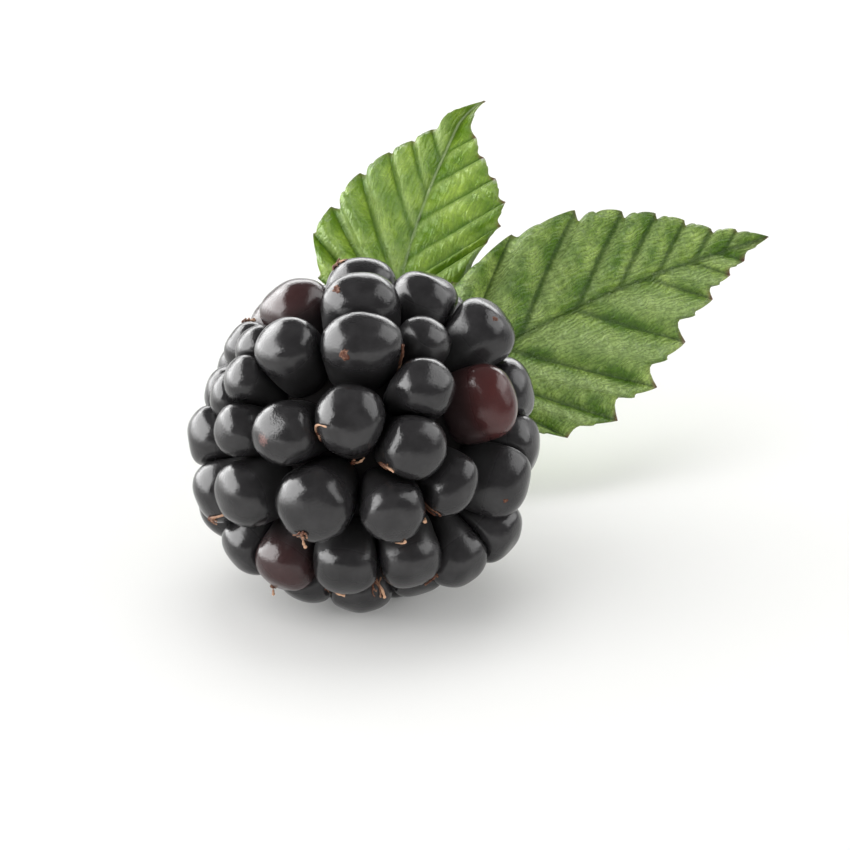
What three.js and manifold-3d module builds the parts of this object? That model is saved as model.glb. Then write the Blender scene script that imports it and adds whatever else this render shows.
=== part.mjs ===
// A ripe bramble berry, as picked: the fruit lies on its side on a flat surface with its tip raised,
// on a short cut stalk that carries two small toothed leaves behind it.
//
// Frame: millimetres, +Z up. The fruit's tip points towards -Y and its stalk runs back towards +Y.
// The origin is on the surface that the fruit lies on, below the middle of the whole object's box.
//
// The fruit is one grown-together solid: about sixty drupelets round a core. Its drupelets are placed in
// the fruit's own frame, where +Z is the way the tip points: each has an angle from the tip, a turn round
// the tip (0 is to the right, 90 is up), a radius, and a lift off the seat that all of them share.

import * as THREE from "three";
import { mergeVertices } from "three/addons/utils/BufferGeometryUtils.js";
import Module from "manifold-3d";

const wasm = await Module();
wasm.setup();

// ---- Driving dimensions ---------------------------------------------------------------------------

const FRUIT_HEIGHT = 11.45; // fruit's middle above the surface it lies on
const FRUIT_LEAN = 22; // degrees that the tip points above the level
const SEAT_RADIUS = 9.6; // from the fruit's middle to the middle of a drupelet
const CORE_RADIUS = 7.5; // the receptacle that the drupelets grow from
const CORE_BACK_RADIUS = 3.1; // its stub at the back, that the cup sits against
const CORE_BACK = 8.4; // how far behind the fruit's middle that stub ends
const ROOT_RADIUS = 6.7; // from the fruit's middle to the narrow root of a drupelet, inside the core
const CREASE = 0.08; // width of the crease between two drupelets
const ROUNDING = 8; // how tightly a drupelet's side turns where a neighbour flattens it
const DRUPELET_SIDES = 9; // facets round a drupelet
const DRUPELET_RINGS = 6; // facets from its outermost point to its root

const CUP_RADIUS = 2.9; // calyx cup, where the sepals spring from
const CUP_FRONT = 8.7; // behind the fruit's middle
const CUP_DEPTH = 1.9;
const SEPAL_COUNT = 5;
const SEPAL_LENGTH = 5.6;
const SEPAL_WIDTH = 3.8;
const SEPAL_THICKNESS = 0.4;
const SEPAL_BEND_BACK = 32; // degrees that a sepal is bent back from square to the stalk

const STALK_RADIUS = 0.72; // slender upper stalk, from the cup to the upper leaf
const STEM_RADIUS = 0.98; // stouter stem below it, down to the cut
const NODE_RADIUS = 1.3; // swelling where a leaf joins

const BLADE_THICKNESS = 0.42;
const MIDRIB_RADIUS = 0.34;
const VEIN_SWEEP = 1.25; // how far a side vein runs forward for each millimetre that it runs out
const NOTCH_DEPTH = 0.75; // between two teeth
const BLADE_FOLD = 0.16; // rise of each half of a blade away from the midrib

const JOINT_GAP = 0.25; // clearance left where two separate pieces meet
const CUT_BLOCK = 100; // side of the block that cuts the underside flat, wider than the whole sprig

// ---- The fruit's drupelets: [degrees from the tip, degrees round it, radius, lift] -------------------

const DRUPELETS = [
  // round the tip
  [8, 130, 2.3, 0],
  [20, 347, 2.15, 0],
  [31, 39, 2.15, 0],
  [37, 91, 2.5, 0],
  [31, 178, 2.45, 0],
  [33, 234, 2.75, 0.1],
  [32, 292, 2.35, 0],
  // shoulder, half way from the tip to the girth
  [43, 330, 2.05, 0],
  [60, 16, 2.6, 0],
  [54, 57, 1.75, -0.6],
  [62, 91, 2.4, 0],
  [50, 131, 2.4, 0],
  [61, 154, 1.7, 0],
  [57, 177, 1.85, 0],
  [61, 206, 2.3, 0],
  [74, 238, 2.15, 0.4],
  [61, 262, 2.2, 0],
  [62, 290, 2.15, 0],
  // girth
  [75, 309, 2.15, 0.7],
  [85, 323, 2.3, 0.8],
  [73, 341, 2.2, 0.2],
  [97, 340, 2.1, 0],
  [84, 356, 2.4, 0],
  [88, 17, 2.4, 0],
  [80, 41, 2.45, 0.7],
  [82, 65, 2.4, 0],
  [96, 90, 2.4, 0.2],
  [80, 118, 2.4, -0.2],
  [70, 140, 1.65, -0.1],
  [91, 142, 1.8, 0],
  [96, 162, 2.0, -0.3],
  [90, 180, 2.35, 0],
  [85, 201, 2.3, 0.3],
  [104, 207, 2.3, 0.8],
  [86, 224, 2.2, 0.6],
  [88, 248, 2.2, 0.2],
  [85, 268, 2.4, 0],
  [86, 291, 2.3, -0.4],
  // behind the girth
  [110, 256, 2.35, 0],
  [110, 284, 2.35, 0],
  [108, 309, 2.1, -0.2],
  [119, 329, 2.1, 0.1],
  [112, 4, 2.4, 0.1],
  [112, 31, 2.3, -0.1],
  [109, 56, 2.35, 0.1],
  [118, 79, 2.2, 0],
  [117, 104, 2.2, -0.1],
  [108, 126, 2.3, 0],
  [114, 150, 2.3, 0.1],
  [116, 176, 2.35, 0],
  [128, 201, 2.3, 0],
  [112, 232, 2.3, 0.2],
  // round the cup
  [132, 270, 2.4, 0.05],
  [134, 240, 2.2, 0],
  [136, 300, 2.3, -0.1],
  [139, 337, 2.4, 0],
  [137, 12, 2.2, 0.1],
  [136, 46, 2.4, 0],
  [141, 82, 2.3, -0.1],
  [140, 118, 2.3, 0.1],
  [138, 152, 2.2, 0],
  [146, 183, 2.0, -0.6],
  [147, 222, 2.0, -0.7],
];

// ---- The stalk's course, from the cup down to the cut that rests on the surface -----------------------

const STALK_COURSE = [
  [0, 10.2, 7.34],
  [0.6, 12.8, 6.4],
  [1.5, 15.1, 5.6],
];
const STEM_COURSE = [
  [1.5, 15.1, 5.6],
  [2.6, 17.8, 4.8],
  [4.2, 21, 3.6],
  [5.6, 23.6, 2.1],
  [6.5, 25.2, 0.75],
];

// ---- The leaves: teeth are [distance along the midrib, distance out from it] --------------------------

const LEAVES = [
  {
    name: "leaf_right",
    base: [4.6, 17.8, 7.85],
    heading: 24, // degrees of the midrib from +X towards +Y
    climb: 15, // degrees of the midrib above the level
    roll: 62, // degrees that the blade is turned about its midrib
    length: 29.8,
    bow: 1.0, // sideways bow of the midrib
    droop: 1.2, // how far the tip bends back
    petiole: [
      [3.0, 17.8, 6.4],
      [3.7, 17.7, 7.1],
    ],
    leftTeeth: [
      [5.6, 5.6],
      [10.4, 7.3],
      [15.4, 6.9],
      [18.6, 5.5],
      [21.4, 4.2],
      [23.2, 2.8],
      [25.0, 1.8],
      [26.9, 1.3],
    ],
    rightTeeth: [
      [4.6, 6.0],
      [9.2, 8.2],
      [12.8, 9.2],
      [15.9, 7.8],
      [19.6, 5.6],
      [22.4, 3.4],
      [24.6, 2.2],
      [26.4, 1.3],
    ],
  },
  {
    name: "leaf_left",
    base: [1.8, 19.7, 10.8],
    heading: 66,
    climb: 42,
    roll: 18,
    length: 21.8,
    bow: 0.8,
    droop: 0.9,
    petiole: [
      [1.5, 15.6, 7.2],
      [1.6, 17.4, 9.0],
    ],
    leftTeeth: [
      [4.6, 5.6],
      [8.0, 7.3],
      [10.6, 6.3],
      [13.8, 5.2],
      [15.6, 3.8],
      [17.4, 2.7],
      [19.2, 1.5],
    ],
    rightTeeth: [
      [4.4, 4.4],
      [8.6, 5.3],
      [11.4, 6.2],
      [14.2, 6.1],
      [16.0, 4.6],
      [17.6, 3.2],
      [19.4, 1.8],
    ],
  },
];

// ---- Materials ------------------------------------------------------------------------------------

const finish = (color, roughness) => new THREE.MeshStandardMaterial({ color, roughness, metalness: 0 });

const BERRY_SKIN = finish(0x221e20, 0.3);
const CALYX_FELT = finish(0x8a9464, 0.9);
const STALK_BARK = finish(0x6f8a3c, 0.7);
const LEAF_GREEN = finish(0x6f8f3c, 0.6);

// ---- Solids ---------------------------------------------------------------------------------------

/** A closed geometry as a manifold-3d solid. */
function solidOf(geometry) {
  const bare = geometry.clone();
  bare.deleteAttribute("normal");
  bare.deleteAttribute("uv");
  const merged = mergeVertices(bare, 1e-4);
  const vertProperties = merged.attributes.position.array;
  const triVerts = new Uint32Array(merged.index.array);
  return new wasm.Manifold(new wasm.Mesh({ numProp: 3, vertProperties, triVerts }));
}

/** A manifold-3d solid as a geometry. */
function geometryOf(solid) {
  const mesh = solid.getMesh();
  return new THREE.BufferGeometry()
    .setAttribute("position", new THREE.BufferAttribute(mesh.vertProperties, 3))
    .setIndex(new THREE.BufferAttribute(mesh.triVerts, 1));
}

/** Closed geometries joined into one solid. */
function joined(geometries) {
  return geometries.map(solidOf).reduce((whole, piece) => whole.add(piece));
}

/** A round bar along a smooth curve through the points. */
function barAlong(points, radius, steps) {
  const course = new THREE.CatmullRomCurve3(points.map((point) => new THREE.Vector3(...point)));
  const section = new THREE.Shape().absarc(0, 0, radius, 0, Math.PI * 2);
  return new THREE.ExtrudeGeometry(section, { curveSegments: 5, steps, extrudePath: course });
}

/** A closed plate over a grid of points, half its thickness to each side of them along the given way. */
function plateOver(rows, way, thickness) {
  const columns = rows[0].length;
  const half = way.clone().multiplyScalar(thickness / 2);
  const middles = rows.flat();
  const tops = middles.map((point) => point.clone().add(half));
  const bottoms = middles.map((point) => point.clone().sub(half));
  const top = (row, column) => row * columns + column;
  const bottom = (row, column) => middles.length + top(row, column);
  const faces = [];
  const quad = (a, b, c, d) => faces.push(a, b, c, a, c, d);
  const lastRow = rows.length - 1;
  const lastColumn = columns - 1;
  for (let row = 0; row < lastRow; row += 1) {
    for (let column = 0; column < lastColumn; column += 1) {
      quad(top(row, column), top(row + 1, column), top(row + 1, column + 1), top(row, column + 1));
      quad(bottom(row, column), bottom(row, column + 1), bottom(row + 1, column + 1), bottom(row + 1, column));
    }
    quad(top(row, 0), bottom(row, 0), bottom(row + 1, 0), top(row + 1, 0));
    quad(top(row, lastColumn), top(row + 1, lastColumn), bottom(row + 1, lastColumn), bottom(row, lastColumn));
  }
  for (let column = 0; column < lastColumn; column += 1) {
    quad(top(0, column), top(0, column + 1), bottom(0, column + 1), bottom(0, column));
    quad(top(lastRow, column), bottom(lastRow, column), bottom(lastRow, column + 1), top(lastRow, column + 1));
  }
  return new THREE.BufferGeometry().setFromPoints([...tops, ...bottoms]).setIndex(faces);
}

/** Everything below a level, to cut away what would sink into the surface. */
function below(level) {
  const block = new THREE.BoxGeometry(CUT_BLOCK, CUT_BLOCK, CUT_BLOCK);
  return solidOf(block.translate(0, 0, level - CUT_BLOCK / 2));
}

/** A named mesh of a solid or a geometry. */
function piece(name, shape, material) {
  const mesh = new THREE.Mesh(shape.isBufferGeometry ? shape : geometryOf(shape), material);
  mesh.name = name;
  return mesh;
}

const radians = THREE.MathUtils.degToRad;

// ---- Fruit ----------------------------------------------------------------------------------------

/** The turn from the fruit's own frame, with its tip along +Z, to the way the fruit lies. */
const fruitTurn = new THREE.Euler(radians(90 - FRUIT_LEAN), 0, 0);

/** Each drupelet's middle and radius, in the fruit's own frame. */
const seats = DRUPELETS.map(([fromTip, turn, radius, lift]) => {
  const out = new THREE.Vector3().setFromSphericalCoords(SEAT_RADIUS + lift, radians(fromTip), 0);
  const middle = new THREE.Vector3(out.z, 0, out.y).applyAxisAngle(new THREE.Vector3(0, 0, 1), radians(turn));
  return { middle, radius };
});

/** The flat sides that a drupelet's neighbours press on it: unit directions and distances from its middle. */
function pressedSides(seat) {
  return seats
    .filter((other) => other !== seat && other.middle.distanceTo(seat.middle) < other.radius + seat.radius + 0.5)
    .map((other) => {
      const apart = other.middle.distanceTo(seat.middle);
      const towards = other.middle.clone().sub(seat.middle).divideScalar(apart);
      return { towards, distance: (apart * seat.radius) / (seat.radius + other.radius) - CREASE / 2 };
    });
}

/** One drupelet: a ball, flattened with rounded edges where its neighbours press on it. */
function drupelet(seat) {
  const sides = pressedSides(seat);
  const outward = seat.middle.clone().normalize();
  const rootReach = seat.middle.length() - ROOT_RADIUS;
  const shape = new THREE.SphereGeometry(1, DRUPELET_SIDES, DRUPELET_RINGS);
  shape.applyQuaternion(new THREE.Quaternion().setFromUnitVectors(THREE.Object3D.DEFAULT_UP, outward));
  const corners = shape.attributes.position;
  const corner = new THREE.Vector3();
  for (let index = 0; index < corners.count; index += 1) {
    corner.fromBufferAttribute(corners, index).normalize();
    const inward = Math.max(0, -corner.dot(outward));
    let crowding = THREE.MathUtils.lerp(seat.radius, rootReach, inward ** 2) ** -ROUNDING;
    for (const { towards, distance } of sides) {
      crowding += (Math.max(0, corner.dot(towards)) / distance) ** ROUNDING;
    }
    corner.multiplyScalar(crowding ** (-1 / ROUNDING)).add(seat.middle);
    corners.setXYZ(index, corner.x, corner.y, corner.z);
  }
  return shape;
}

/** The whole fruit, turned as it lies, with its lowest drupelets pressed flat on the surface. */
function berry() {
  const core = new THREE.SphereGeometry(CORE_RADIUS, 20, 12);
  const stub = new THREE.CylinderGeometry(CORE_BACK_RADIUS, CORE_BACK_RADIUS + 1, CORE_BACK, 20);
  stub.rotateX(-Math.PI / 2).translate(0, 0, -CORE_BACK / 2);
  const grown = joined([...seats.map(drupelet), core, stub]);
  const lying = geometryOf(grown).applyMatrix4(new THREE.Matrix4().makeRotationFromEuler(fruitTurn));
  return solidOf(lying).subtract(below(-FRUIT_HEIGHT));
}

// ---- Calyx ----------------------------------------------------------------------------------------

/** The shallow cup between fruit and stalk, turned about the fruit's axis. */
function calyxCup() {
  const back = CUP_FRONT + CUP_DEPTH;
  const profile = [
    [0, -back],
    [STALK_RADIUS + 0.25, -back],
    [CUP_RADIUS * 0.72, -back + CUP_DEPTH * 0.4],
    [CUP_RADIUS, -CUP_FRONT - CUP_DEPTH * 0.15],
    [CUP_RADIUS * 0.92, -CUP_FRONT],
    [0, -CUP_FRONT],
  ];
  const turned = new THREE.LatheGeometry(profile.map(([radius, height]) => new THREE.Vector2(radius, height)), 20);
  return turned.rotateX(Math.PI / 2);
}

/** One pointed sepal, springing from the cup's rim and bent back towards the stalk. */
function sepal(turn) {
  const root = CUP_RADIUS + JOINT_GAP;
  const back = radians(SEPAL_BEND_BACK);
  const rows = [];
  for (let row = 0; row <= 7; row += 1) {
    const along = row / 7;
    const halfWidth = SEPAL_WIDTH * (0.31 + 0.75 * along - 0.98 * along ** 2);
    const curl = 0.8 * along ** 2;
    const out = root + SEPAL_LENGTH * along * Math.cos(back);
    const depth = -CUP_FRONT - 0.7 - SEPAL_LENGTH * along * Math.sin(back) - curl;
    const across = [-1, -0.5, 0, 0.5, 1];
    rows.push(across.map((side) => new THREE.Vector3(out, side * halfWidth, depth + 0.35 * side ** 2)));
  }
  const square = new THREE.Vector3(Math.sin(back), 0, Math.cos(back));
  return plateOver(rows, square, SEPAL_THICKNESS).rotateZ(radians(turn));
}

// ---- Stalk ----------------------------------------------------------------------------------------

/** The stalk from the cup to its cut end, swollen where the leaves join. */
function stalk() {
  const swelling = (point) => new THREE.SphereGeometry(NODE_RADIUS, 12, 8).translate(...point);
  const whole = joined([
    barAlong(STALK_COURSE, STALK_RADIUS, 6),
    barAlong(STEM_COURSE, STEM_RADIUS, 12),
    swelling(STEM_COURSE[0]),
    swelling(STEM_COURSE[1]),
  ]);
  return whole.subtract(below(0));
}

// ---- Leaves ---------------------------------------------------------------------------------------

/** A leaf's own directions: along its midrib, to the left across its blade, and out of its upper face. */
function leafAxes({ heading, climb, roll }) {
  const along = new THREE.Vector3(
    Math.cos(radians(heading)) * Math.cos(radians(climb)),
    Math.sin(radians(heading)) * Math.cos(radians(climb)),
    Math.sin(radians(climb)),
  );
  const level = new THREE.Vector3(-Math.sin(radians(heading)), Math.cos(radians(heading)), 0);
  const left = level.applyAxisAngle(along, radians(roll));
  return { along, left, up: new THREE.Vector3().crossVectors(along, left) };
}

/** The place of a point of the blade, given along the midrib and to its left. */
function bladePoint(leaf, axes, along, left) {
  const share = THREE.MathUtils.clamp(along / leaf.length, 0, 1);
  const bowed = left + leaf.bow * Math.sin(Math.PI * share);
  const raised = BLADE_FOLD * Math.abs(left) - leaf.droop * share ** 2;
  return new THREE.Vector3(...leaf.base)
    .addScaledVector(axes.along, along)
    .addScaledVector(axes.left, bowed)
    .addScaledVector(axes.up, raised);
}

/** The margin of half a blade, from base to tip: each tooth's point and the notch after it. */
function margin(leaf, teeth) {
  const points = [[0.4, 0.5]];
  teeth.forEach(([along, out], index) => {
    const [nextAlong, nextOut] = teeth[index + 1] ?? [leaf.length, 0];
    points.push([along, out]);
    points.push([along * 0.6 + nextAlong * 0.4, Math.max(0.35, out * 0.6 + nextOut * 0.4 - NOTCH_DEPTH)]);
  });
  points.push([leaf.length, 0.3]);
  return points;
}

/** Half a blade, on the left (side 1) or the right (side -1): one row of points along each side vein. */
function halfBlade(leaf, axes, teeth, side) {
  const rows = margin(leaf, teeth).map(([along, out]) => {
    const veinBase = Math.max(along * 0.25, along - VEIN_SWEEP * out);
    const shares = [0, 0.35, 0.7, 1];
    return shares.map((share) => {
      const alongVein = veinBase + (along - veinBase) * share;
      return bladePoint(leaf, axes, alongVein, side * (out * share - 0.1 * (1 - share)));
    });
  });
  const facing = axes.up.clone().multiplyScalar(side);
  return plateOver(rows, facing, BLADE_THICKNESS);
}

/** A leaf grown as one piece: its leaf stalk, the midrib that it runs on into, and its two half blades. */
function leafSolid(leaf) {
  const axes = leafAxes(leaf);
  const ribShares = [0, 0.25, 0.5, 0.75, 0.92];
  const ribPoints = ribShares.map((share) => {
    const point = bladePoint(leaf, axes, leaf.length * share, 0);
    return point.addScaledVector(axes.up, -BLADE_THICKNESS / 2).toArray();
  });
  return joined([
    halfBlade(leaf, axes, leaf.leftTeeth, 1),
    halfBlade(leaf, axes, leaf.rightTeeth, -1),
    barAlong([...leaf.petiole, ...ribPoints], MIDRIB_RADIUS, 18),
  ]);
}

// ---- Assembly -------------------------------------------------------------------------------------

const sprig = new THREE.Group();

const fruitPlace = new THREE.Group();
fruitPlace.position.z = FRUIT_HEIGHT;
fruitPlace.add(piece("berry", berry(), BERRY_SKIN));

const calyx = new THREE.Group();
calyx.rotation.copy(fruitTurn);
calyx.add(piece("calyx_cup", calyxCup(), CALYX_FELT));
for (let index = 0; index < SEPAL_COUNT; index += 1) {
  const turn = 90 + (360 / SEPAL_COUNT) * index;
  calyx.add(piece(`sepal_${index + 1}`, sepal(turn), CALYX_FELT));
}
fruitPlace.add(calyx);
sprig.add(fruitPlace);

sprig.add(piece("stalk", stalk(), STALK_BARK));
for (const leaf of LEAVES) {
  sprig.add(piece(leaf.name, leafSolid(leaf), LEAF_GREEN));
}

const box = new THREE.Box3().setFromObject(sprig, true);
const middle = box.getCenter(new THREE.Vector3());
sprig.position.set(-middle.x, -middle.y, -box.min.z);

const brambleBerry = new THREE.Group();
brambleBerry.add(sprig);

export default brambleBerry;
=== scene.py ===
"""A ripe bramble berry lying on its side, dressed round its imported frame.

The fruit, its dried styles, the calyx, the stalk and each toothed leaf are one class each, and so is each
finish. Sizes are millimetres in the sprig's own axes: +Z up, the fruit's tip towards -Y, and the origin on
the surface right below the fruit's middle. Ground turns them to metres in the frame's axes.
"""

from __future__ import annotations

import logging
import math
from dataclasses import dataclass, field
from enum import Enum
from functools import partial
from typing import Any, Mapping, Sequence

import bmesh
import bpy
import numpy as np
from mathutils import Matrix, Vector
from mathutils.bvhtree import BVHTree

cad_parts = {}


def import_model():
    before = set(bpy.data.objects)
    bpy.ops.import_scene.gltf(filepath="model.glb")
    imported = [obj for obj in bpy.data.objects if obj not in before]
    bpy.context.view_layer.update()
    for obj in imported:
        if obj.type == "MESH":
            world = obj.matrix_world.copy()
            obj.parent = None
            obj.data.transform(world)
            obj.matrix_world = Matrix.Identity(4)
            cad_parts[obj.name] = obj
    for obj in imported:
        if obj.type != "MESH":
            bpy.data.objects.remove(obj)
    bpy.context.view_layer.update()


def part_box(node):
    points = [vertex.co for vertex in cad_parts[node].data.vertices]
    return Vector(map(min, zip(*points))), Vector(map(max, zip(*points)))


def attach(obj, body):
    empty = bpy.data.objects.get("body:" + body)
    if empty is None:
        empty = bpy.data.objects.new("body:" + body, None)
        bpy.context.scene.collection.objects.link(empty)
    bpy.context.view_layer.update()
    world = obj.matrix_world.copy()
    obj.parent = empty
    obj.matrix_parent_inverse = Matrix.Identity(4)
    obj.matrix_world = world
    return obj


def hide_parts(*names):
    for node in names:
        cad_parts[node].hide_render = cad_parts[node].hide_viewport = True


Array = np.ndarray
Pair = tuple[float, float]
Point = tuple[float, float, float]

MM = 0.001
BODY = "root"
log = logging.getLogger("bramble_berry")


class Slot(Enum):
    """The record's material slots."""

    BERRY = "berry_skin"
    FELT = "calyx_felt"
    BARK = "stalk_bark"
    LEAF = "leaf_blade"
    STYLE = "dried_style"


class Half(Enum):
    """The two halves of a leaf, seen from its upper face with the tip ahead."""

    LEFT = 1
    RIGHT = -1


class Reach(Enum):
    """What a studio light lights: gloss alone, or matt surfaces alone."""

    GLOSS = "gloss"
    DIFFUSE = "diffuse"


class Margin(Enum):
    """How a leaf's margin runs from one main tooth to the next, towards the leaf's tip.

    Each is a row of pairs: share of the way, and depth as a share of the deepest notch.
    """

    SCALLOPED = (
        (0, 0.05), (0.02, 0.5), (0.05, 0.95), (0.08, 1.0), (0.12, 0.78), (0.18, 0.5), (0.25, 0.3),
        (0.32, 0.22), (0.36, 0.24), (0.4, 0.34), (0.46, 0.2), (0.55, 0.06), (0.66, -0.03), (0.78, -0.08),
        (0.88, -0.08), (0.95, -0.04),
    )  # fmt: skip
    SERRATED = (
        (0, 0), (0.06, 0.42), (0.13, 0.8), (0.2, 0.98), (0.26, 1.0), (0.32, 0.84), (0.38, 0.66), (0.44, 0.5),
        (0.49, 0.42), (0.52, 0.5), (0.56, 0.52), (0.62, 0.42), (0.7, 0.3), (0.79, 0.19), (0.88, 0.09),
        (0.95, 0.03),
    )  # fmt: skip


# ---- Small tools ----


def unit(vectors: Array) -> Array:
    """Scales vectors to length 1 along the last axis."""
    return vectors / np.linalg.norm(vectors, axis=-1, keepdims=True)


def dip(distance: Array, width: float) -> Array:
    """Gives 1 where a distance is nought, falling smoothly to nothing over a width."""
    return np.exp(-((distance / width) ** 2))


def circle(sides: int) -> Array:
    """Gives points evenly round the unit circle in the XY plane."""
    around = np.linspace(0, 2 * math.pi, sides, endpoint=False)
    return np.stack([np.cos(around), np.sin(around), 0 * around], axis=-1)


def sphere_way(from_tip: Array | float, turn: Array | float) -> Array:
    """Gives the way out at an angle from the tip (+Z) and a turn round it, both in degrees."""
    tilt, around = np.radians(from_tip), np.radians(turn)
    return np.stack([np.sin(tilt) * np.cos(around), np.sin(tilt) * np.sin(around), np.cos(tilt)], axis=-1)


def ripple(points: Array, wavelength: float, seed: int, waves: int = 14) -> Array:
    """Gives smooth irregular values over space.

    Args:
        points: Places, in millimetres.
        wavelength: The mean spacing of the bumps.
        seed: Picks the pattern.
        waves: How many plane waves are summed.

    Returns:
        One value for each point, mostly between -1 and 1.
    """
    rng = np.random.default_rng(seed)
    ways = unit(rng.normal(size=(waves, 3)))
    stretch = rng.uniform(0.7, 1.4, waves)
    phases = rng.uniform(0, 2 * math.pi, waves)
    turns = points @ (ways * (2 * math.pi / wavelength * stretch)[:, None]).T + phases
    return np.sin(turns).sum(axis=-1) / math.sqrt(waves)


def smooth_course(points: Array, count: int) -> Array:
    """Draws a smooth curve through points.

    Args:
        points: The points that it runs through.
        count: How many places along it are wanted.

    Returns:
        The places, evenly shared out between the points.
    """
    ends = 2 * points[[0, -1]] - points[[1, -2]]
    knots = np.concatenate([ends[:1], points, ends[1:]])
    place = np.linspace(0, len(points) - 1, count)
    first = np.minimum(place.astype(int), len(points) - 2)
    share = (place - first)[:, None]
    a, b, c, d = (knots[first + k] for k in range(4))
    cubic = (3 * b - a - 3 * c + d) * share**3 + (2 * a - 5 * b + 4 * c - d) * share**2
    return b + ((c - a) * share + cubic) / 2


def geodesic(frequency: int) -> tuple[Array, Array]:
    """Divides an icosahedron evenly.

    Args:
        frequency: Into how many parts each of its edges is divided.

    Returns:
        Unit directions, and triangles that face out.
    """
    solid = bmesh.new()
    bmesh.ops.create_icosphere(solid, subdivisions=1, radius=1)
    corners, triangles = [], []
    for face in solid.faces:
        a, b, c = (np.array(vertex.co) for vertex in face.verts)
        place = {}
        for i in range(frequency + 1):
            for j in range(frequency + 1 - i):
                place[i, j] = len(corners)
                corners.append(a + (b - a) * i / frequency + (c - a) * j / frequency)
        for i in range(frequency):
            for j in range(frequency - i):
                triangles.append((place[i, j], place[i + 1, j], place[i, j + 1]))
                if i + j < frequency - 1:
                    triangles.append((place[i + 1, j], place[i + 1, j + 1], place[i, j + 1]))
    solid.free()
    _, first, index = np.unique(np.round(corners, 6), axis=0, return_index=True, return_inverse=True)
    return unit(np.array(corners)[first]), index.reshape(-1)[np.array(triangles)]


def slab_faces(rows: int, columns: int, flip: bool = False) -> Array:
    """Gives the quads of a closed slab: two equal grids, numbered one after the other, and their rim.

    Args:
        rows: Number of rows of points in each grid.
        columns: Number of points in a row.
        flip: Whether the faces are turned over.

    Returns:
        Four point numbers for each quad.
    """
    numbers = np.arange(rows * columns).reshape(rows, columns)
    quads = np.stack([numbers[:-1, :-1], numbers[1:, :-1], numbers[1:, 1:], numbers[:-1, 1:]], axis=-1)
    sheet = quads.reshape(-1, 4)
    loop = np.concatenate([numbers[0, :-1], numbers[:-1, -1], numbers[-1, :0:-1], numbers[:0:-1, 0]])
    after = np.roll(loop, -1)
    rim = np.stack([loop, after, after + numbers.size, loop + numbers.size], axis=-1)
    faces = np.concatenate([sheet, sheet[:, ::-1] + numbers.size, rim])
    return faces[:, ::-1] if flip else faces


def ring_faces(rings: int, sides: int, start: int = 0) -> Array:
    """Gives the quads round a stack of closed rings of points, numbered ring by ring.

    Args:
        rings: Number of rings.
        sides: Number of points in a ring.
        start: Number of the first point.

    Returns:
        Four point numbers for each quad.
    """
    numbers = start + np.arange(rings * sides).reshape(rings, sides)
    after = np.roll(numbers, -1, axis=1)
    return np.stack([numbers[:-1], numbers[1:], after[1:], after[:-1]], axis=-1).reshape(-1, 4)


@dataclass(frozen=True)
class Ground:
    """Where the sprig's own origin lies in the frame, in millimetres."""

    right: float
    back: float

    def placed(self, points: Array) -> Array:
        """Turns places in the sprig to metres in the frame, with nothing below the surface."""
        moved = np.asarray(points, dtype=float) + (self.right, self.back, 0)
        moved[..., 2] = np.maximum(moved[..., 2], 0)
        return moved * MM


def make_object(
    name: str, points: Array, faces: Sequence[Any], marks: Mapping[str, Array] | None = None
) -> bpy.types.Object:
    """Makes a smooth mesh object at the origin.

    Args:
        name: The object's name.
        points: Places, in metres in the frame.
        faces: Point numbers of each face, or of each edge where they come in pairs.
        marks: Numbers for each point, kept as attributes.

    Returns:
        The object, linked to the scene.
    """
    rows = [list(map(int, face)) for face in faces]
    edges, polygons = (rows, []) if len(rows[0]) == 2 else ([], rows)
    mesh = bpy.data.meshes.new(name)
    mesh.from_pydata(np.asarray(points).tolist(), edges, polygons)
    mesh.polygons.foreach_set("use_smooth", [True] * len(mesh.polygons))
    for mark, values in (marks or {}).items():
        attribute = mesh.attributes.new(mark, "FLOAT", "POINT")
        attribute.data.foreach_set("value", np.asarray(values, dtype=np.float32).ravel())
    return linked(name, mesh)


def linked(name: str, data: Any) -> bpy.types.Object:
    """Makes an object of a mesh, a camera or a light and links it to the scene."""
    made = bpy.data.objects.new(name, data)
    bpy.context.scene.collection.objects.link(made)
    return made


def joined(name: str, pieces: Sequence[bpy.types.Object]) -> bpy.types.Object:
    """Joins mesh objects that all sit at the origin into the first, under a new name."""
    with bpy.context.temp_override(
        active_object=pieces[0], object=pieces[0], selected_objects=pieces, selected_editable_objects=pieces
    ):
        bpy.ops.object.join()
    pieces[0].name = pieces[0].data.name = name
    return pieces[0]


def dress(piece: bpy.types.Object, nodes: Sequence[str] = ()) -> None:
    """Ties a finished piece to the frame and reports it.

    Args:
        piece: The piece.
        nodes: The CAD nodes that it stands for.
    """
    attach(piece, BODY)
    if nodes:
        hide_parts(*nodes)
    log.info("%s: %d faces", piece.name, len(piece.data.polygons))


# ---- Nodes ----


def linear(code: str) -> tuple[float, float, float, float]:
    """Turns an sRGB hex colour to linear light.

    Args:
        code: The colour as #RRGGBB.

    Returns:
        Red, green, blue and an alpha of 1.
    """
    shares = [int(code[start : start + 2], 16) / 255 for start in (1, 3, 5)]
    red, green, blue = (s / 12.92 if s <= 0.04045 else ((s + 0.055) / 1.055) ** 2.4 for s in shares)
    return red, green, blue, 1.0


def per_mm(size: float) -> float:
    """Gives a texture's Scale for cells of a size in millimetres on coordinates in metres."""
    return 1 / (size * MM)


def feed(tree: Any, node: Any, inputs: Mapping[str, Any]) -> None:
    """Sets a node's inputs.

    Args:
        tree: The node tree.
        node: The node.
        inputs: By the input's identifier or name: a value, a socket, or a node that gives its first output.
    """
    for key, value in inputs.items():
        target = next((s for s in node.inputs if s.identifier == key), None) or node.inputs[key]
        if isinstance(value, bpy.types.Node):
            value = next(s for s in value.outputs if s.enabled)
        if isinstance(value, bpy.types.NodeSocket):
            tree.links.new(value, target)
        else:
            target.default_value = value


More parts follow.
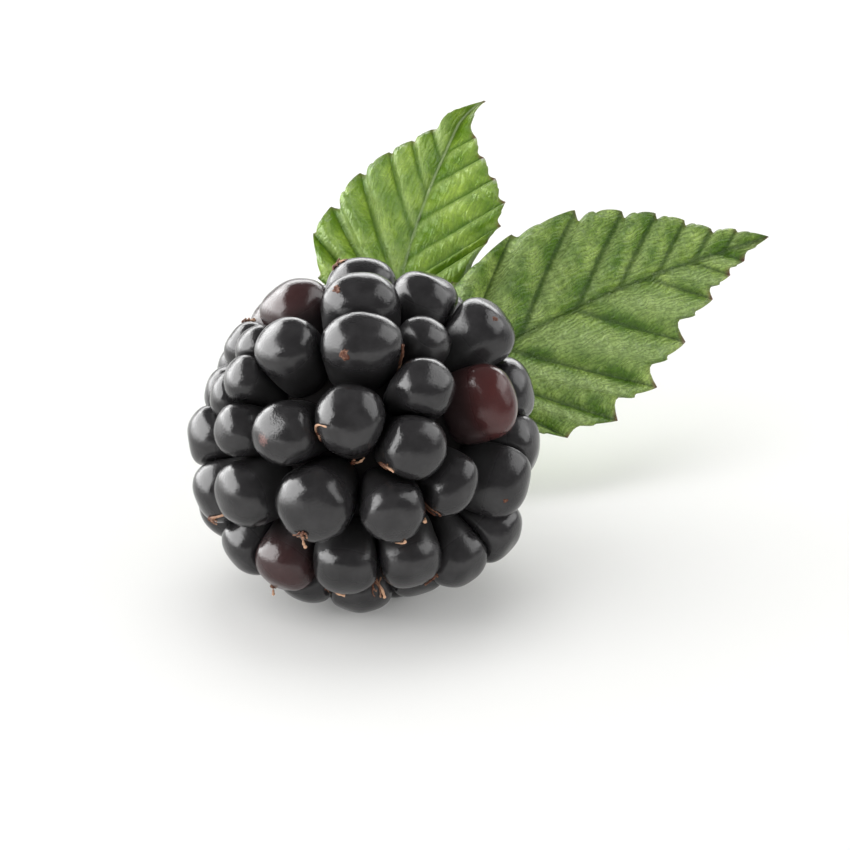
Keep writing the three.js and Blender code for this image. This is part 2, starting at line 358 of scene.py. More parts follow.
def add_node(tree: Any, kind: str, inputs: Mapping[str, Any] | None = None, **settings: Any) -> Any:
    """Adds a node with its settings, values and links.

    Args:
        tree: The node tree.
        kind: The node's type name.
        inputs: What it is fed.
        **settings: The node's own properties.

    Returns:
        The new node.
    """
    node = tree.nodes.new(kind)
    for name, value in settings.items():
        setattr(node, name, value)
    feed(tree, node, inputs or {})
    return node


def blend(tree: Any, factor: Any, start: Any, end: Any, span: Pair | None = None, most: float = 1.0) -> Any:
    """Mixes two colours by a value.

    Args:
        tree: The node tree.
        factor: The value's node or socket.
        start: The first colour's node or hex code.
        end: The second colour's node or hex code.
        span: The values at which the mix starts and ends, where they aren't 0 and 1.
        most: Share of the second colour at the end of the span.

    Returns:
        The node with the mixed colour.
    """
    if span:
        ends = {"From Min": span[0], "From Max": span[1], "To Max": most}
        factor = add_node(tree, "ShaderNodeMapRange", {"Value": factor, **ends})
    first, second = (linear(colour) if isinstance(colour, str) else colour for colour in (start, end))
    colours = {"Factor_Float": factor, "A_Color": first, "B_Color": second}
    return add_node(tree, "ShaderNodeMix", colours, data_type="RGBA")


def new_material(name: str, **values: Any) -> tuple[bpy.types.Material, Any, Any]:
    """Starts a material.

    Args:
        name: The finish's name.
        **values: Constants for the Principled shader, with underscores for spaces.

    Returns:
        The material, its node tree and its Principled shader.
    """
    material = bpy.data.materials.new(name)
    material.use_nodes = True
    tree = material.node_tree
    shader = next(node for node in tree.nodes if node.type == "BSDF_PRINCIPLED")
    feed(tree, shader, {key.replace("_", " "): value for key, value in values.items()})
    return material, tree, shader


def new_tree(name: str, sizes: Mapping[str, str]) -> tuple[Any, Any]:
    """Starts a Geometry Nodes tree with a Finish input and one named input for each size.

    Args:
        name: The tree's name.
        sizes: The socket kind of each named input.

    Returns:
        The tree and its Group Input node's outputs.
    """
    tree = bpy.data.node_groups.new(name, "GeometryNodeTree")
    kinds = {"Geometry": "NodeSocketGeometry", "Finish": "NodeSocketMaterial", **sizes}
    for label, kind in kinds.items():
        tree.interface.new_socket(label, in_out="INPUT", socket_type=kind)
    tree.interface.new_socket("Geometry", in_out="OUTPUT", socket_type="NodeSocketGeometry")
    return tree, add_node(tree, "NodeGroupInput").outputs


def end_tree(tree: Any, geometry: Any, finish: Any) -> None:
    """Ends a tree in Realize Instances and Set Material."""
    real = add_node(tree, "GeometryNodeRealizeInstances", {"Geometry": geometry})
    smooth = add_node(tree, "GeometryNodeSetShadeSmooth", {"Geometry": real})
    coloured = add_node(tree, "GeometryNodeSetMaterial", {"Geometry": smooth, "Material": finish})
    add_node(tree, "NodeGroupOutput", {"Geometry": coloured})


def sweep_tree() -> Any:
    """Builds the tree that runs a round section along chains of edges, as thick as their thickness mark."""
    tree, given = new_tree("sweep", {"Sides": "NodeSocketInt"})
    add = partial(add_node, tree)
    course = add("GeometryNodeMeshToCurve", {"Mesh": given["Geometry"]})
    thickness = add("GeometryNodeInputNamedAttribute", {"Name": "thickness"}, data_type="FLOAT")
    section = add("GeometryNodeCurvePrimitiveCircle", {"Resolution": given["Sides"], "Radius": 1.0})
    parts = {"Curve": course, "Profile Curve": section, "Scale": thickness, "Fill Caps": True}
    end_tree(tree, add("GeometryNodeCurveToMesh", parts), given["Finish"])
    return tree


def grown(name: str, source: bpy.types.Object, tree: Any, inputs: Mapping[str, Any]) -> bpy.types.Object:
    """Runs a Geometry Nodes tree on an object and keeps the result as a plain mesh.

    Args:
        name: The new object's name.
        source: The object that the tree starts from, removed afterwards.
        tree: The tree.
        inputs: Values for the tree's named inputs.

    Returns:
        The new object.
    """
    modifier = source.modifiers.new(tree.name, "NODES")
    modifier.node_group = tree
    for item in tree.interface.items_tree:
        if item.in_out == "INPUT" and item.name in inputs:
            modifier[item.identifier] = inputs[item.name]
    evaluated = source.evaluated_get(bpy.context.evaluated_depsgraph_get())
    mesh = bpy.data.meshes.new_from_object(evaluated)
    source.modifiers.remove(modifier)
    bpy.data.objects.remove(source)
    mesh.name = name
    return linked(name, mesh)


def swept(
    name: str,
    points: Array,
    thickness: Array,
    marks: Mapping[str, Array],
    finish: Any,
    sides: int,
    steps: int = 0,
) -> bpy.types.Object:
    """Sweeps a round section along one chain of places, or along many of equal length.

    Args:
        name: The new object's name.
        points: The places of all chains, in metres in the frame.
        thickness: The section's radius at each, in millimetres.
        marks: Other numbers for each point.
        finish: Its material.
        sides: Number of sides of the section.
        steps: Places in one chain, where there are many.

    Returns:
        The new object.
    """
    steps = steps or len(points)
    edges = [(k, k + 1) for k in range(len(points) - 1) if (k + 1) % steps]
    course = make_object(f"{name}_course", points, edges, {"thickness": thickness * MM, **marks})
    return grown(name, course, sweep_tree(), {"Finish": finish, "Sides": sides})


@dataclass(frozen=True)
class Down:
    """Short leaning hairs over a surface."""

    per_mm2: float
    length: float
    thickness: float
    lean: float
    growth: Pair = (0.45, 1.2)

    def tree(self) -> Any:
        """Builds the tree that covers a surface with the hairs and keeps the surface."""
        kinds = dict.fromkeys(("Density", "Length", "Thickness", "Lean"), "NodeSocketFloat")
        tree, given = new_tree("down", {**kinds, "Seed": "NodeSocketInt"})
        add, seed = partial(add_node, tree), {"Seed": given["Seed"]}
        soil = {"Mesh": given["Geometry"], "Density": given["Density"]}
        roots = add("GeometryNodeDistributePointsOnFaces", {**soil, **seed})
        taper = {"Radius Top": 0.0, "Radius Bottom": given["Thickness"], "Depth": given["Length"]}
        hair = add("GeometryNodeMeshCone", {"Vertices": 4, "Side Segments": 2, **taper}, fill_type="NONE")
        most = add("ShaderNodeCombineXYZ", {"X": given["Lean"], "Y": given["Lean"], "Z": math.pi})
        least = add("ShaderNodeVectorMath", {"Vector": most, "Scale": -1.0}, operation="SCALE")
        lean = add("FunctionNodeRandomValue", {"Min": least, "Max": most, **seed}, data_type="FLOAT_VECTOR")
        turns = {"Rotation": roots.outputs["Rotation"], "Rotate By": lean}
        leaning = add("FunctionNodeRotateRotation", turns, rotation_space="LOCAL")
        sizes = {"Min_001": self.growth[0], "Max_001": self.growth[1]}
        growth = add("FunctionNodeRandomValue", {**sizes, **seed}, data_type="FLOAT")
        coat = {"Points": roots, "Instance": hair, "Rotation": leaning, "Scale": growth}
        both = add("GeometryNodeJoinGeometry")
        feed(tree, both, {"Geometry": add("GeometryNodeInstanceOnPoints", coat)})
        feed(tree, both, {"Geometry": given["Geometry"]})
        end_tree(tree, both, given["Finish"])
        return tree

    def over(self, name: str, bare: bpy.types.Object, finish: Any, seed: int) -> bpy.types.Object:
        """Covers a bare piece.

        Args:
            name: The haired piece's name.
            bare: The bare piece, removed afterwards.
            finish: Its material.
            seed: Picks where the hairs stand.

        Returns:
            The haired piece.
        """
        sizes = {"Length": self.length * MM, "Thickness": self.thickness * MM, "Lean": self.lean}
        inputs = {"Finish": finish, "Density": self.per_mm2 / MM**2, **sizes, "Seed": seed}
        return grown(name, bare, self.tree(), inputs)


# ---- Finishes ----


@dataclass(frozen=True)
class BerrySkin:
    """Ripe drupelet skin: thin waxy cuticle over dark juice, near black, redder where it ripened last, with
    painted shade in its creases.
    """

    ripe: str = "#222122"
    bloom: str = "#302F30"
    flush: str = "#44201F"
    # Painted shade: crease is the near-black blended in where the skin lies deep between the drupelets.
    crease: str = "#131213"
    chafed: str = "#7D5E5A"
    bloom_span: Pair = (0.4, 0.75)
    bloom_most: float = 0.8
    chafe_level: float = 0.35
    chafe_span: Pair = (-0.1, 0.25)
    roughness: Pair = (0.13, 0.21)
    crease_roughness: float = 0.6
    bloom_mm: float = 1.3
    pore_mm: float = 0.13
    pore_depth_mm: float = 0.02
    pore_strength: float = 0.8

    def material(self) -> bpy.types.Material:
        """Builds the skin: the wax gives broad soft highlights, its fine pores break them into grain."""
        material, tree, shader = new_material("ripe_berry_skin", IOR=1.45, Specular_IOR_Level=0.5)
        add = partial(add_node, tree)
        place = add("ShaderNodeTexCoord").outputs["Object"]
        patches, pores = (
            add("ShaderNodeTexNoise", {"Vector": place, "Scale": per_mm(size), "Detail": detail})
            for size, detail in ((self.bloom_mm, 3.0), (self.pore_mm, 2.0))
        )
        flush, chafe, deep = (
            add("ShaderNodeAttribute", attribute_name=name).outputs["Fac"]
            for name in ("flush", "chafe", "deep")
        )
        broken = {"Value": chafe, "Value_001": pores, "Value_002": -self.chafe_level}
        rubbed = add("ShaderNodeMath", broken, operation="MULTIPLY_ADD")
        black = blend(tree, patches, self.ripe, self.bloom, self.bloom_span, self.bloom_most)
        colour = blend(tree, flush, black, self.flush)
        colour = blend(tree, rubbed, colour, self.chafed, self.chafe_span)
        smooth, cloudy = self.roughness
        wax = add("ShaderNodeMapRange", {"Value": patches, "To Min": smooth, "To Max": cloudy})
        dull = {"Factor_Float": deep, "A_Float": wax, "B_Float": self.crease_roughness}
        depth = {"Strength": self.pore_strength, "Distance": self.pore_depth_mm * MM}
        # Painted shade: the deep mark blends the colour to near-black between the drupelets and makes the
        # skin rougher there.
        looks = {
            "Base Color": blend(tree, deep, colour, self.crease),
            "Roughness": add("ShaderNodeMix", dull, data_type="FLOAT"),
            "Normal": add("ShaderNodeBump", {**depth, "Height": pores}),
        }
        feed(tree, shader, looks)
        return material


@dataclass(frozen=True)
class Receptacle:
    """Core between the drupelets' roots, in a matt near-black that is painted shade for the depth between
    them.
    """

    # Painted shade: the core's near-black, which stands for the shade between the drupelets.
    painted_shade_black: str = "#0C0A0A"
    roughness: float = 0.9
    gloss: float = 0.1

    def material(self) -> bpy.types.Material:
        """Builds the core: dull, with little gloss, in a near-black that is painted shade."""
        looks = {"Base_Color": linear(self.painted_shade_black), "Roughness": self.roughness}
        return new_material("receptacle_painted_shade", **looks, Specular_IOR_Level=self.gloss)[0]


@dataclass(frozen=True)
class DriedStyle:
    """Withered style: a papery tan thread, browner at its root."""

    thread: str = "#BE9679"
    root: str = "#4A2210"
    fade: Pair = (0.55, 1.25)
    fibre_mm: float = 0.1

    def material(self) -> bpy.types.Material:
        """Builds the thread: dry and matt, streaked along its length, so it stands out from wet black."""
        material, tree, shader = new_material("dried_style", Roughness=0.7, IOR=1.4)
        add = partial(add_node, tree)
        place = add("ShaderNodeTexCoord").outputs["Object"]
        fibres = add("ShaderNodeTexNoise", {"Vector": place, "Scale": per_mm(self.fibre_mm), "Detail": 2.0})
        share = add("ShaderNodeAttribute", attribute_name="share").outputs["Fac"]
        age = add("ShaderNodeMath", {"Value": share, "Value_001": fibres}, operation="ADD")
        feed(tree, shader, {"Base Color": blend(tree, age, self.root, self.thread, self.fade)})
        return material


@dataclass(frozen=True)
class Felt:
    """Downy skin of calyx and young stalk: green beneath, veiled by short pale hairs."""

    name: str = "calyx_felt"
    green: str = "#7C8A52"
    pale: str = "#A9AE86"
    patch_mm: float = 0.7
    patch_span: Pair = (0.35, 0.65)
    nap_mm: float = 0.05
    nap_strength: float = 0.5
    pith: str = "#D8DBB6"

    def material(self) -> bpy.types.Material:
        """Builds the felt: no gloss, a faint sheen from the hairs, and cloudy pale patches."""
        material, tree, shader = new_material(
            self.name, Roughness=0.85, Sheen_Weight=0.25, Sheen_Roughness=0.5
        )
        add = partial(add_node, tree)
        place = add("ShaderNodeTexCoord").outputs["Object"]
        cloud = add("ShaderNodeTexNoise", {"Vector": place, "Scale": per_mm(self.patch_mm), "Detail": 4.0})
        cut = add("ShaderNodeAttribute", attribute_name="pith").outputs["Fac"]
        skin = blend(tree, cloud, self.green, self.pale, self.patch_span)
        depth = {"Strength": self.nap_strength, "Distance": self.nap_mm * MM}
        nap = add("ShaderNodeBump", {**depth, "Height": cloud})
        feed(tree, shader, {"Base Color": blend(tree, cut, skin, self.pith), "Normal": nap})
        return material


@dataclass(frozen=True)
class LeafBlade:
    """Living leaf: thin waxed green blade, netted with fine veins, rusty at the tips of its teeth."""

    name: str
    green: str = "#4B6E10"
    light: str = "#98B059"
    # The vein valleys' dark green: partly the veins' own darker green, partly painted shade in the valleys;
    # it also draws the dark net and rungs of small veins.
    groove: str = "#2A440B"
    # Painted sheen: the pale green laid along one slope of each pleat, where a lamp's sheen would lie.
    painted_sheen_green: str = "#9BB16C"
    under: str = "#7A9157"
    under_light: str = "#92A670"
    vein: str = "#B4C396"
    rust: str = "#5C3A2A"
    rib_share: float = 0.0
    speckle: float = 0.4
    grain_mm: float = 0.13
    net_mm: float = 0.2
    net_share: float = 0.9
    rung_mm: float = 0.42
    rung_waver_mm: float = 2.0
    lane_mm: float = 1.3
    patch_mm: float = 1.8

    def material(self) -> bpy.types.Material:
        """Builds the blade: a satin cuticle whose sheen breaks up on the net of small veins, with painted
        sheen on its pleats and painted shade in its vein valleys.
        """
        material, tree, shader = new_material(self.name, Roughness=0.4, Specular_IOR_Level=0.36)
        add, mix = partial(add_node, tree), partial(blend, tree)
        place = add("ShaderNodeTexCoord").outputs["Object"]
        mark = {
            name: add("ShaderNodeAttribute", attribute_name=name).outputs["Fac"]
            for name in ("groove", "rib", "rust", "under", "painted_sheen_band", "rung", "lane")
        }
        patches, net = (
            add("ShaderNodeTexNoise", {"Vector": place, "Scale": per_mm(size), "Detail": detail})
            for size, detail in ((self.patch_mm, 5.0), (self.net_mm, 2.0))
        )
        ladder = self.ladder(tree, mark["rung"], mark["lane"], patches)
        upper = mix(patches, self.green, self.light, (0.4, 0.7))
        # Painted sheen: a pale green along one slope of each pleat.
        upper = mix(mark["painted_sheen_band"], upper, self.painted_sheen_green, (0.3, 1.0), 0.7)
        upper = mix(net, upper, self.groove, (0.6, 0.34), self.speckle)
        upper = mix(ladder, upper, self.groove, (0.16, 0.0), self.speckle)
        # Painted shade, partly the veins' own darker green: the vein valleys of the upper face are darkened.
        upper = mix(mark["groove"], upper, self.groove, (0.0, 1.0), 0.75)
        upper = mix(mark["rib"], upper, self.vein, (0.2, 1.0), self.rib_share)
        lower = mix(patches, self.under, self.under_light, (0.4, 0.65))
        lower = mix(ladder, lower, self.vein, (0.12, 0.0), 0.5)
        lower = mix(mark["groove"], lower, self.vein, (0.0, 1.0), 0.85)
        colour = mix(mark["rust"], mix(mark["under"], upper, lower), self.rust)
        cells = {"Value": net, "Value_001": self.net_share, "Value_002": ladder}
        relief = add("ShaderNodeMath", cells, operation="MULTIPLY_ADD")
        bump = add("ShaderNodeBump", {"Strength": 1.0, "Distance": self.grain_mm * MM, "Height": relief})
        feed(tree, shader, {"Base Color": colour, "Normal": bump})
        return material

    def ladder(self, tree: Any, rung: Any, lane: Any, waver: Any) -> Any:
        """Draws the small veins that run like rungs from one side vein to the next.

        Args:
            tree: The node tree.
            rung: Socket with the distance along the side veins, in millimetres.
            lane: Socket with the distance from the nearest side vein, in millimetres.
            waver: Node with a cloudy value that bends the rungs.

        Returns:
            The node with the distance to the nearest rung, in shares of their spacing.
        """
        add = partial(add_node, tree)
        wavy = {"Value": waver, "Value_001": self.rung_waver_mm, "Value_002": rung}
        along = add("ShaderNodeMath", wavy, operation="MULTIPLY_ADD")
        flat = add("ShaderNodeCombineXYZ", {"X": along, "Y": lane})
        cell = {"Vector": flat, "Vector_001": (1 / self.rung_mm, 1 / self.lane_mm, 0.0)}
        spaced = {"Vector": add("ShaderNodeVectorMath", cell, operation="MULTIPLY"), "Scale": 1.0}
        return add("ShaderNodeTexVoronoi", spaced, feature="DISTANCE_TO_EDGE", voronoi_dimensions="2D")


# ---- Fruit ----

# Each drupelet: degrees from the tip, degrees round it (0 right, 90 up), radius, lift off the shared seat.
DRUPELETS = (
    # round the tip
    ((8, 130, 2.3, 0), (20, 347, 2.15, 0), (31, 38, 2.0, 0), (37, 91, 2.4, 0)),
    ((31, 178, 2.2, 0), (33, 234, 2.55, 0.1), (32, 291, 2.15, 0)),
    # shoulder, half way from the tip to the girth
    ((43, 330, 1.8, 0), (60, 15, 2.15, 0.1), (54, 57, 1.75, -0.6), (62, 91, 2.4, 0)),
    ((50, 131, 2.2, 0), (61, 154, 1.7, 0), (57, 177, 1.85, 0), (61, 206, 2.3, 0)),
    ((74, 238, 2.15, 0.4), (61, 262, 2.2, 0), (62, 290, 2.15, 0)),
    # girth
    ((77, 307, 2.15, 0.7), (85, 323, 2.3, 0.8), (72, 341, 2.3, 0.2), (97, 340, 2.1, 0)),
    ((84, 356, 2.4, 0), (88, 17, 2.4, 0), (80, 41, 2.45, 0.7), (82, 65, 2.4, 0)),
    ((96, 90, 2.4, 0.2), (80, 118, 2.4, -0.2), (70, 140, 1.65, -0.1), (91, 142, 1.8, 0)),
    ((96, 162, 2.0, -0.3), (76, 163, 1.6, -0.2), (90, 180, 2.35, 0), (85, 201, 2.3, 0.3)),
    ((104, 207, 2.3, 0.8),),
    ((86, 224, 2.2, 0.6), (88, 248, 2.2, 0.2), (85, 268, 2.4, 0), (86, 291, 2.3, -0.4)),
    # behind the girth
    ((110, 256, 2.35, 0), (110, 284, 2.35, 0), (108, 309, 2.1, -0.2), (119, 329, 2.1, 0.1)),
    ((112, 4, 2.4, 0.1), (112, 31, 2.3, -0.1), (109, 56, 2.35, 0.1), (118, 79, 2.2, 0)),
    ((117, 104, 2.2, -0.1), (108, 126, 2.3, 0), (114, 150, 2.3, 0.1), (116, 176, 2.35, 0)),
    ((128, 201, 2.3, 0), (112, 232, 2.3, 0.2)),
    # round the cup
    ((132, 270, 2.4, 0.05), (134, 240, 2.2, 0), (136, 300, 2.3, -0.1), (139, 337, 2.4, 0)),
    ((137, 12, 2.2, 0.1), (136, 46, 2.4, 0), (141, 82, 2.3, -0.1), (140, 118, 2.3, 0.1)),
    ((138, 152, 2.2, 0), (146, 183, 2.0, -0.6), (147, 222, 2.0, -0.7)),
)

# Drupelets that are not round, by their first two values: how much longer they are round the tip than along.
LONG = {(60, 15): 1.3, (43, 330): 1.4, (37, 91): 1.28, (31, 178): 0.9, (72, 341): 1.3, (62, 91): 1.15}

# Drupelets that ripened last, by their first two values: how red they still are.
FLUSHED = {(60, 15): 0.85, (80, 118): 0.5, (74, 238): 0.45, (112, 4): 0.3, (108, 126): 0.4}

# Rubbed patches of skin: degrees from the tip and round it, reach in degrees, and strength.
CHAFED = (
    (29, 103, 2.2, 0.8), (58, 100, 2.0, 0.7), (34, 182, 3.0, 1.0), (95, 97, 2.5, 0.8), (60, 196, 2.0, 0.6),
)  # fmt: skip


@dataclass
class Fruit:
    """The fruit: drupelets round a core, each a ball that its neighbours press flat with rounded edges."""

    finish: BerrySkin = field(default_factory=BerrySkin)
    core_finish: Receptacle = field(default_factory=Receptacle)
    height: float = 11.45
    lean: float = 22.0
    seat_radius: float = 9.6
    core_radius: float = 7.5
    core_sides: int = 48
    core_rings: int = 32
    root_radius: float = 6.7
    back_radius: float = 3.1
    back_reach: float = 8.4
    crease: float = 0.05
    neighbourhood: float = 0.5
    rounding: float = 12.0
    spread: float = 1.05
    dome_power: float = 2.3
    root_power: float = 5.0
    frequency: int = 12
    # Painted shade: the skin and core darken to near-black inward of this radius, over a fade, less on red
    # drupelets.
    painted_shade_radius: float = 10.5
    painted_shade_fade: float = 1.2
    painted_shade_spared_by_flush: float = 0.85
    flush_at_girth: float = 0.75
    flush_rise: float = 0.35
    outward_crowding: float = 0.3
    lump: float = 0.035
    lump_spacing: float = 2.2
    beyond: float = 20.0
    seed: int = 7

    def __post_init__(self) -> None:
        """Works out where each drupelet sits."""
        table = np.array([row for group in DRUPELETS for row in group], dtype=float)
        self.names = [(int(row[0]), int(row[1])) for row in table]
        self.radii = table[:, 2]
        self.middles = sphere_way(table[:, 0], table[:, 1]) * (self.seat_radius + table[:, 3:4])
        angle = math.radians(90 - self.lean)
        turn = ((1, 0, 0), (0, math.cos(angle), -math.sin(angle)), (0, math.sin(angle), math.cos(angle)))
        self.turn = np.array(turn)
        self.skin: BVHTree | None = None

    def lying(self, points: Array) -> Array:
        """Turns places in the fruit's own frame, tip along +Z, to the sprig's axes as the fruit lies."""
        return np.asarray(points) @ self.turn.T + (0, 0, self.height)

    def drupelet(self, index: int, ways: Array) -> Array:
        """Shapes one drupelet.

        Args:
            index: Its number.
            ways: Unit directions of a geodesic ball, +Z outward.

        Returns:
            A place in the fruit's frame for each direction.
        """
        middle, radius = self.middles[index], self.radii[index]
        outward = unit(middle)
        side = unit(np.cross((0, 0, 1), outward))
        turned = ways @ np.stack([side, np.cross(outward, side), outward])
        root_reach = np.linalg.norm(middle) - self.root_radius
        stretch = math.sqrt(LONG.get(self.names[index], 1.0))
        sideways, height = np.hypot(ways[:, 0] / stretch, ways[:, 1] * stretch), ways[:, 2]
        power = np.where(height > 0, self.dome_power, self.root_power)
        tall = np.where(height > 0, radius, root_reach)
        wide = radius * self.spread
        reach = ((sideways / wide) ** power + (np.abs(height) / tall) ** power) ** (-1 / power)
        crowding = reach**-self.rounding
        for other, other_radius in zip(self.middles, self.radii):
            apart = np.linalg.norm(other - middle)
            if 0 < apart < radius + other_radius + self.neighbourhood:
                distance = apart * radius / (radius + other_radius) - self.crease / 2
                towards = (other - middle) / apart
                crowding = crowding + (np.maximum(0, turned @ towards) / distance) ** self.rounding
        places = middle + turned * (crowding ** (-1 / self.rounding))[:, None]
        lumps = ripple(places, self.lump_spacing, self.seed + index) * self.lump
        return places + turned * lumps[:, None]

    def crowded(self, ways: Array) -> Array:
        """Draws the directions of a ball together towards +Z, where the skin shows."""
        angle = np.arccos(np.clip(ways[:, 2], -1, 1))
        drawn = angle - self.outward_crowding * np.sin(angle)
        flat = np.maximum(np.hypot(ways[:, 0], ways[:, 1]), 1e-9)
        ring = ways[:, :2] / flat[:, None] * np.sin(drawn)[:, None]
        return np.concatenate([ring, np.cos(drawn)[:, None]], axis=1)

    def core(self) -> tuple[Array, list[Any]]:
        """Shapes the core with its stub at the back, as places in the fruit's frame and faces."""
        sides = self.core_sides
        angles = np.linspace(0, math.pi, self.core_rings)[1:-1]
        stub = self.back_radius / np.sin(angles)
        cap = self.back_reach / np.maximum(-np.cos(angles), 0.02)
        reach = np.maximum(self.core_radius, np.minimum(stub, cap) * (angles > math.pi / 2))
        rings = [
            circle(sides) * math.sin(angle) * length + (0, 0, math.cos(angle) * length)
            for angle, length in zip(angles, reach)
        ]
        places = np.concatenate([[(0, 0, self.core_radius)], *rings, [(0, 0, -self.back_reach)]])
        last = len(places) - 1
        faces = ring_faces(len(rings), sides, 1).tolist()
        for k in range(sides):
            after = (k + 1) % sides
            faces += [[0, 1 + k, 1 + after], [last - sides + k, last, last - sides + after]]
        return places, faces

    def build(self) -> Ground:
        """Builds the fruit where the frame has it.

        Returns:
            The ground that all other pieces share.
        """
        ball, triangles = geodesic(self.frequency)
        ways = self.crowded(ball)
        shells = [self.drupelet(index, ways) for index in range(len(self.middles))]
        skinned = np.concatenate([triangles + len(ball) * index for index in range(len(shells))]).tolist()
        core, core_faces = self.core()
        faces = skinned + [[corner + len(ball) * len(shells) for corner in face] for face in core_faces]
        places = np.concatenate([*shells, core])
        self.skin = BVHTree.FromPolygons(places.tolist(), faces)
        lying = self.lying(places)
        low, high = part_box("berry")
        middle = (lying.min(axis=0) + lying.max(axis=0)) / 2
        ground = Ground((low[0] + high[0]) / 2 / MM - middle[0], (low[1] + high[1]) / 2 / MM - middle[1])
        outer = np.clip(self.flush_at_girth + self.flush_rise * ways[:, 2], 0, 1)
        flush = [FLUSHED.get(name, 0.0) * outer for name in self.names]
        red = np.concatenate([*flush, np.zeros(len(core))])
        # Painted shade: the deep mark darkens what lies deep between the drupelets, less where they are red.
        deep = np.clip((self.painted_shade_radius - np.linalg.norm(places, axis=1)) / self.painted_shade_fade, 0, 1)
        marks = {"flush": red, "deep": deep * (1 - self.painted_shade_spared_by_flush * red), "chafe": self.chafe(places)}
        piece = make_object("fruit", ground.placed(lying), faces, marks)
        for finish in (self.finish, self.core_finish):
            piece.data.materials.append(finish.material())
        # The core takes the second finish, a painted-shade near-black.
        dressed = [0] * len(skinned) + [1] * len(core_faces)
        piece.data.polygons.foreach_set("material_index", dressed)
        dress(piece, ["berry"])
        return ground

    def chafe(self, places: Array) -> Array:
        """Gives how rubbed the skin is at each place: most round the scars."""
        rubbed = np.zeros(len(places))
        for from_tip, turn, reach, strength in CHAFED:
            away = np.degrees(np.arccos(np.clip(unit(places) @ sphere_way(from_tip, turn), -1, 1)))
            rubbed += strength * dip(away, reach)
        return np.clip(rubbed, 0, 1)

    def touch(self, way: Array) -> tuple[Array, Array]:
        """Finds the skin.

        Args:
            way: The unit direction from the fruit's middle, in its own frame.

        Returns:
            The outermost place there, and the skin's normal.
        """
        place, normal, _, _ = self.skin.ray_cast(Vector(way * self.beyond), Vector(-way))
        return np.array(place), np.array(normal)


# ---- Dried styles and scars ----

# Each style: degrees from the tip and round it at its root and at its end, how far its end stands off, bow.
STYLES = (
    (17, 184, 12, 167, 0.25, 0.5), (15, 245, 11, 272, 0.1, -0.2), (38, 237, 46, 242, 0.5, 0.05),
    (45, 280, 41, 291, 0.1, -0.25), (82, 208, 73, 211, 0.15, 0.1), (80, 238, 83, 240, 1.0, 0.1),
    (72, 274, 77, 277, 0.15, 0.1), (72, 255, 70, 263, 0.1, 0.1), (44, 312, 41, 305, 0.25, 0.1),
    (37, 66, 40, 57, 0.05, 0.1), (93, 136, 90, 133, 0.1, 0.1), (72, 186, 68, 183, 0.15, 0.1),
    (14, 300, 17, 309, 0.1, 0.1), (68, 296, 73, 294, 0.15, 0.1), (93, 100, 91, 96, 0.02, 0.05),
)  # fmt: skip

# Scars where a style has dropped off: degrees from the tip and round it, radius, and how pale its rim is.
SCARS = (
    (29, 103, 0.24, 0.3), (58, 100, 0.22, 0.14), (93, 96, 0.22, 0.35), (72, 41, 0.13, 0.05),
    (65, 335, 0.11, 0.05),
)  # fmt: skip

# The rings of a scar, from its middle out: share of its radius, height, and how much dry flesh shows.
SCAR_RINGS = ((0.04, 0.0, 0.0), (0.35, 0.0, 0.1), (0.62, 0.07, 0.9), (0.8, 0.08, 1.0), (1.0, -0.03, 0.3))


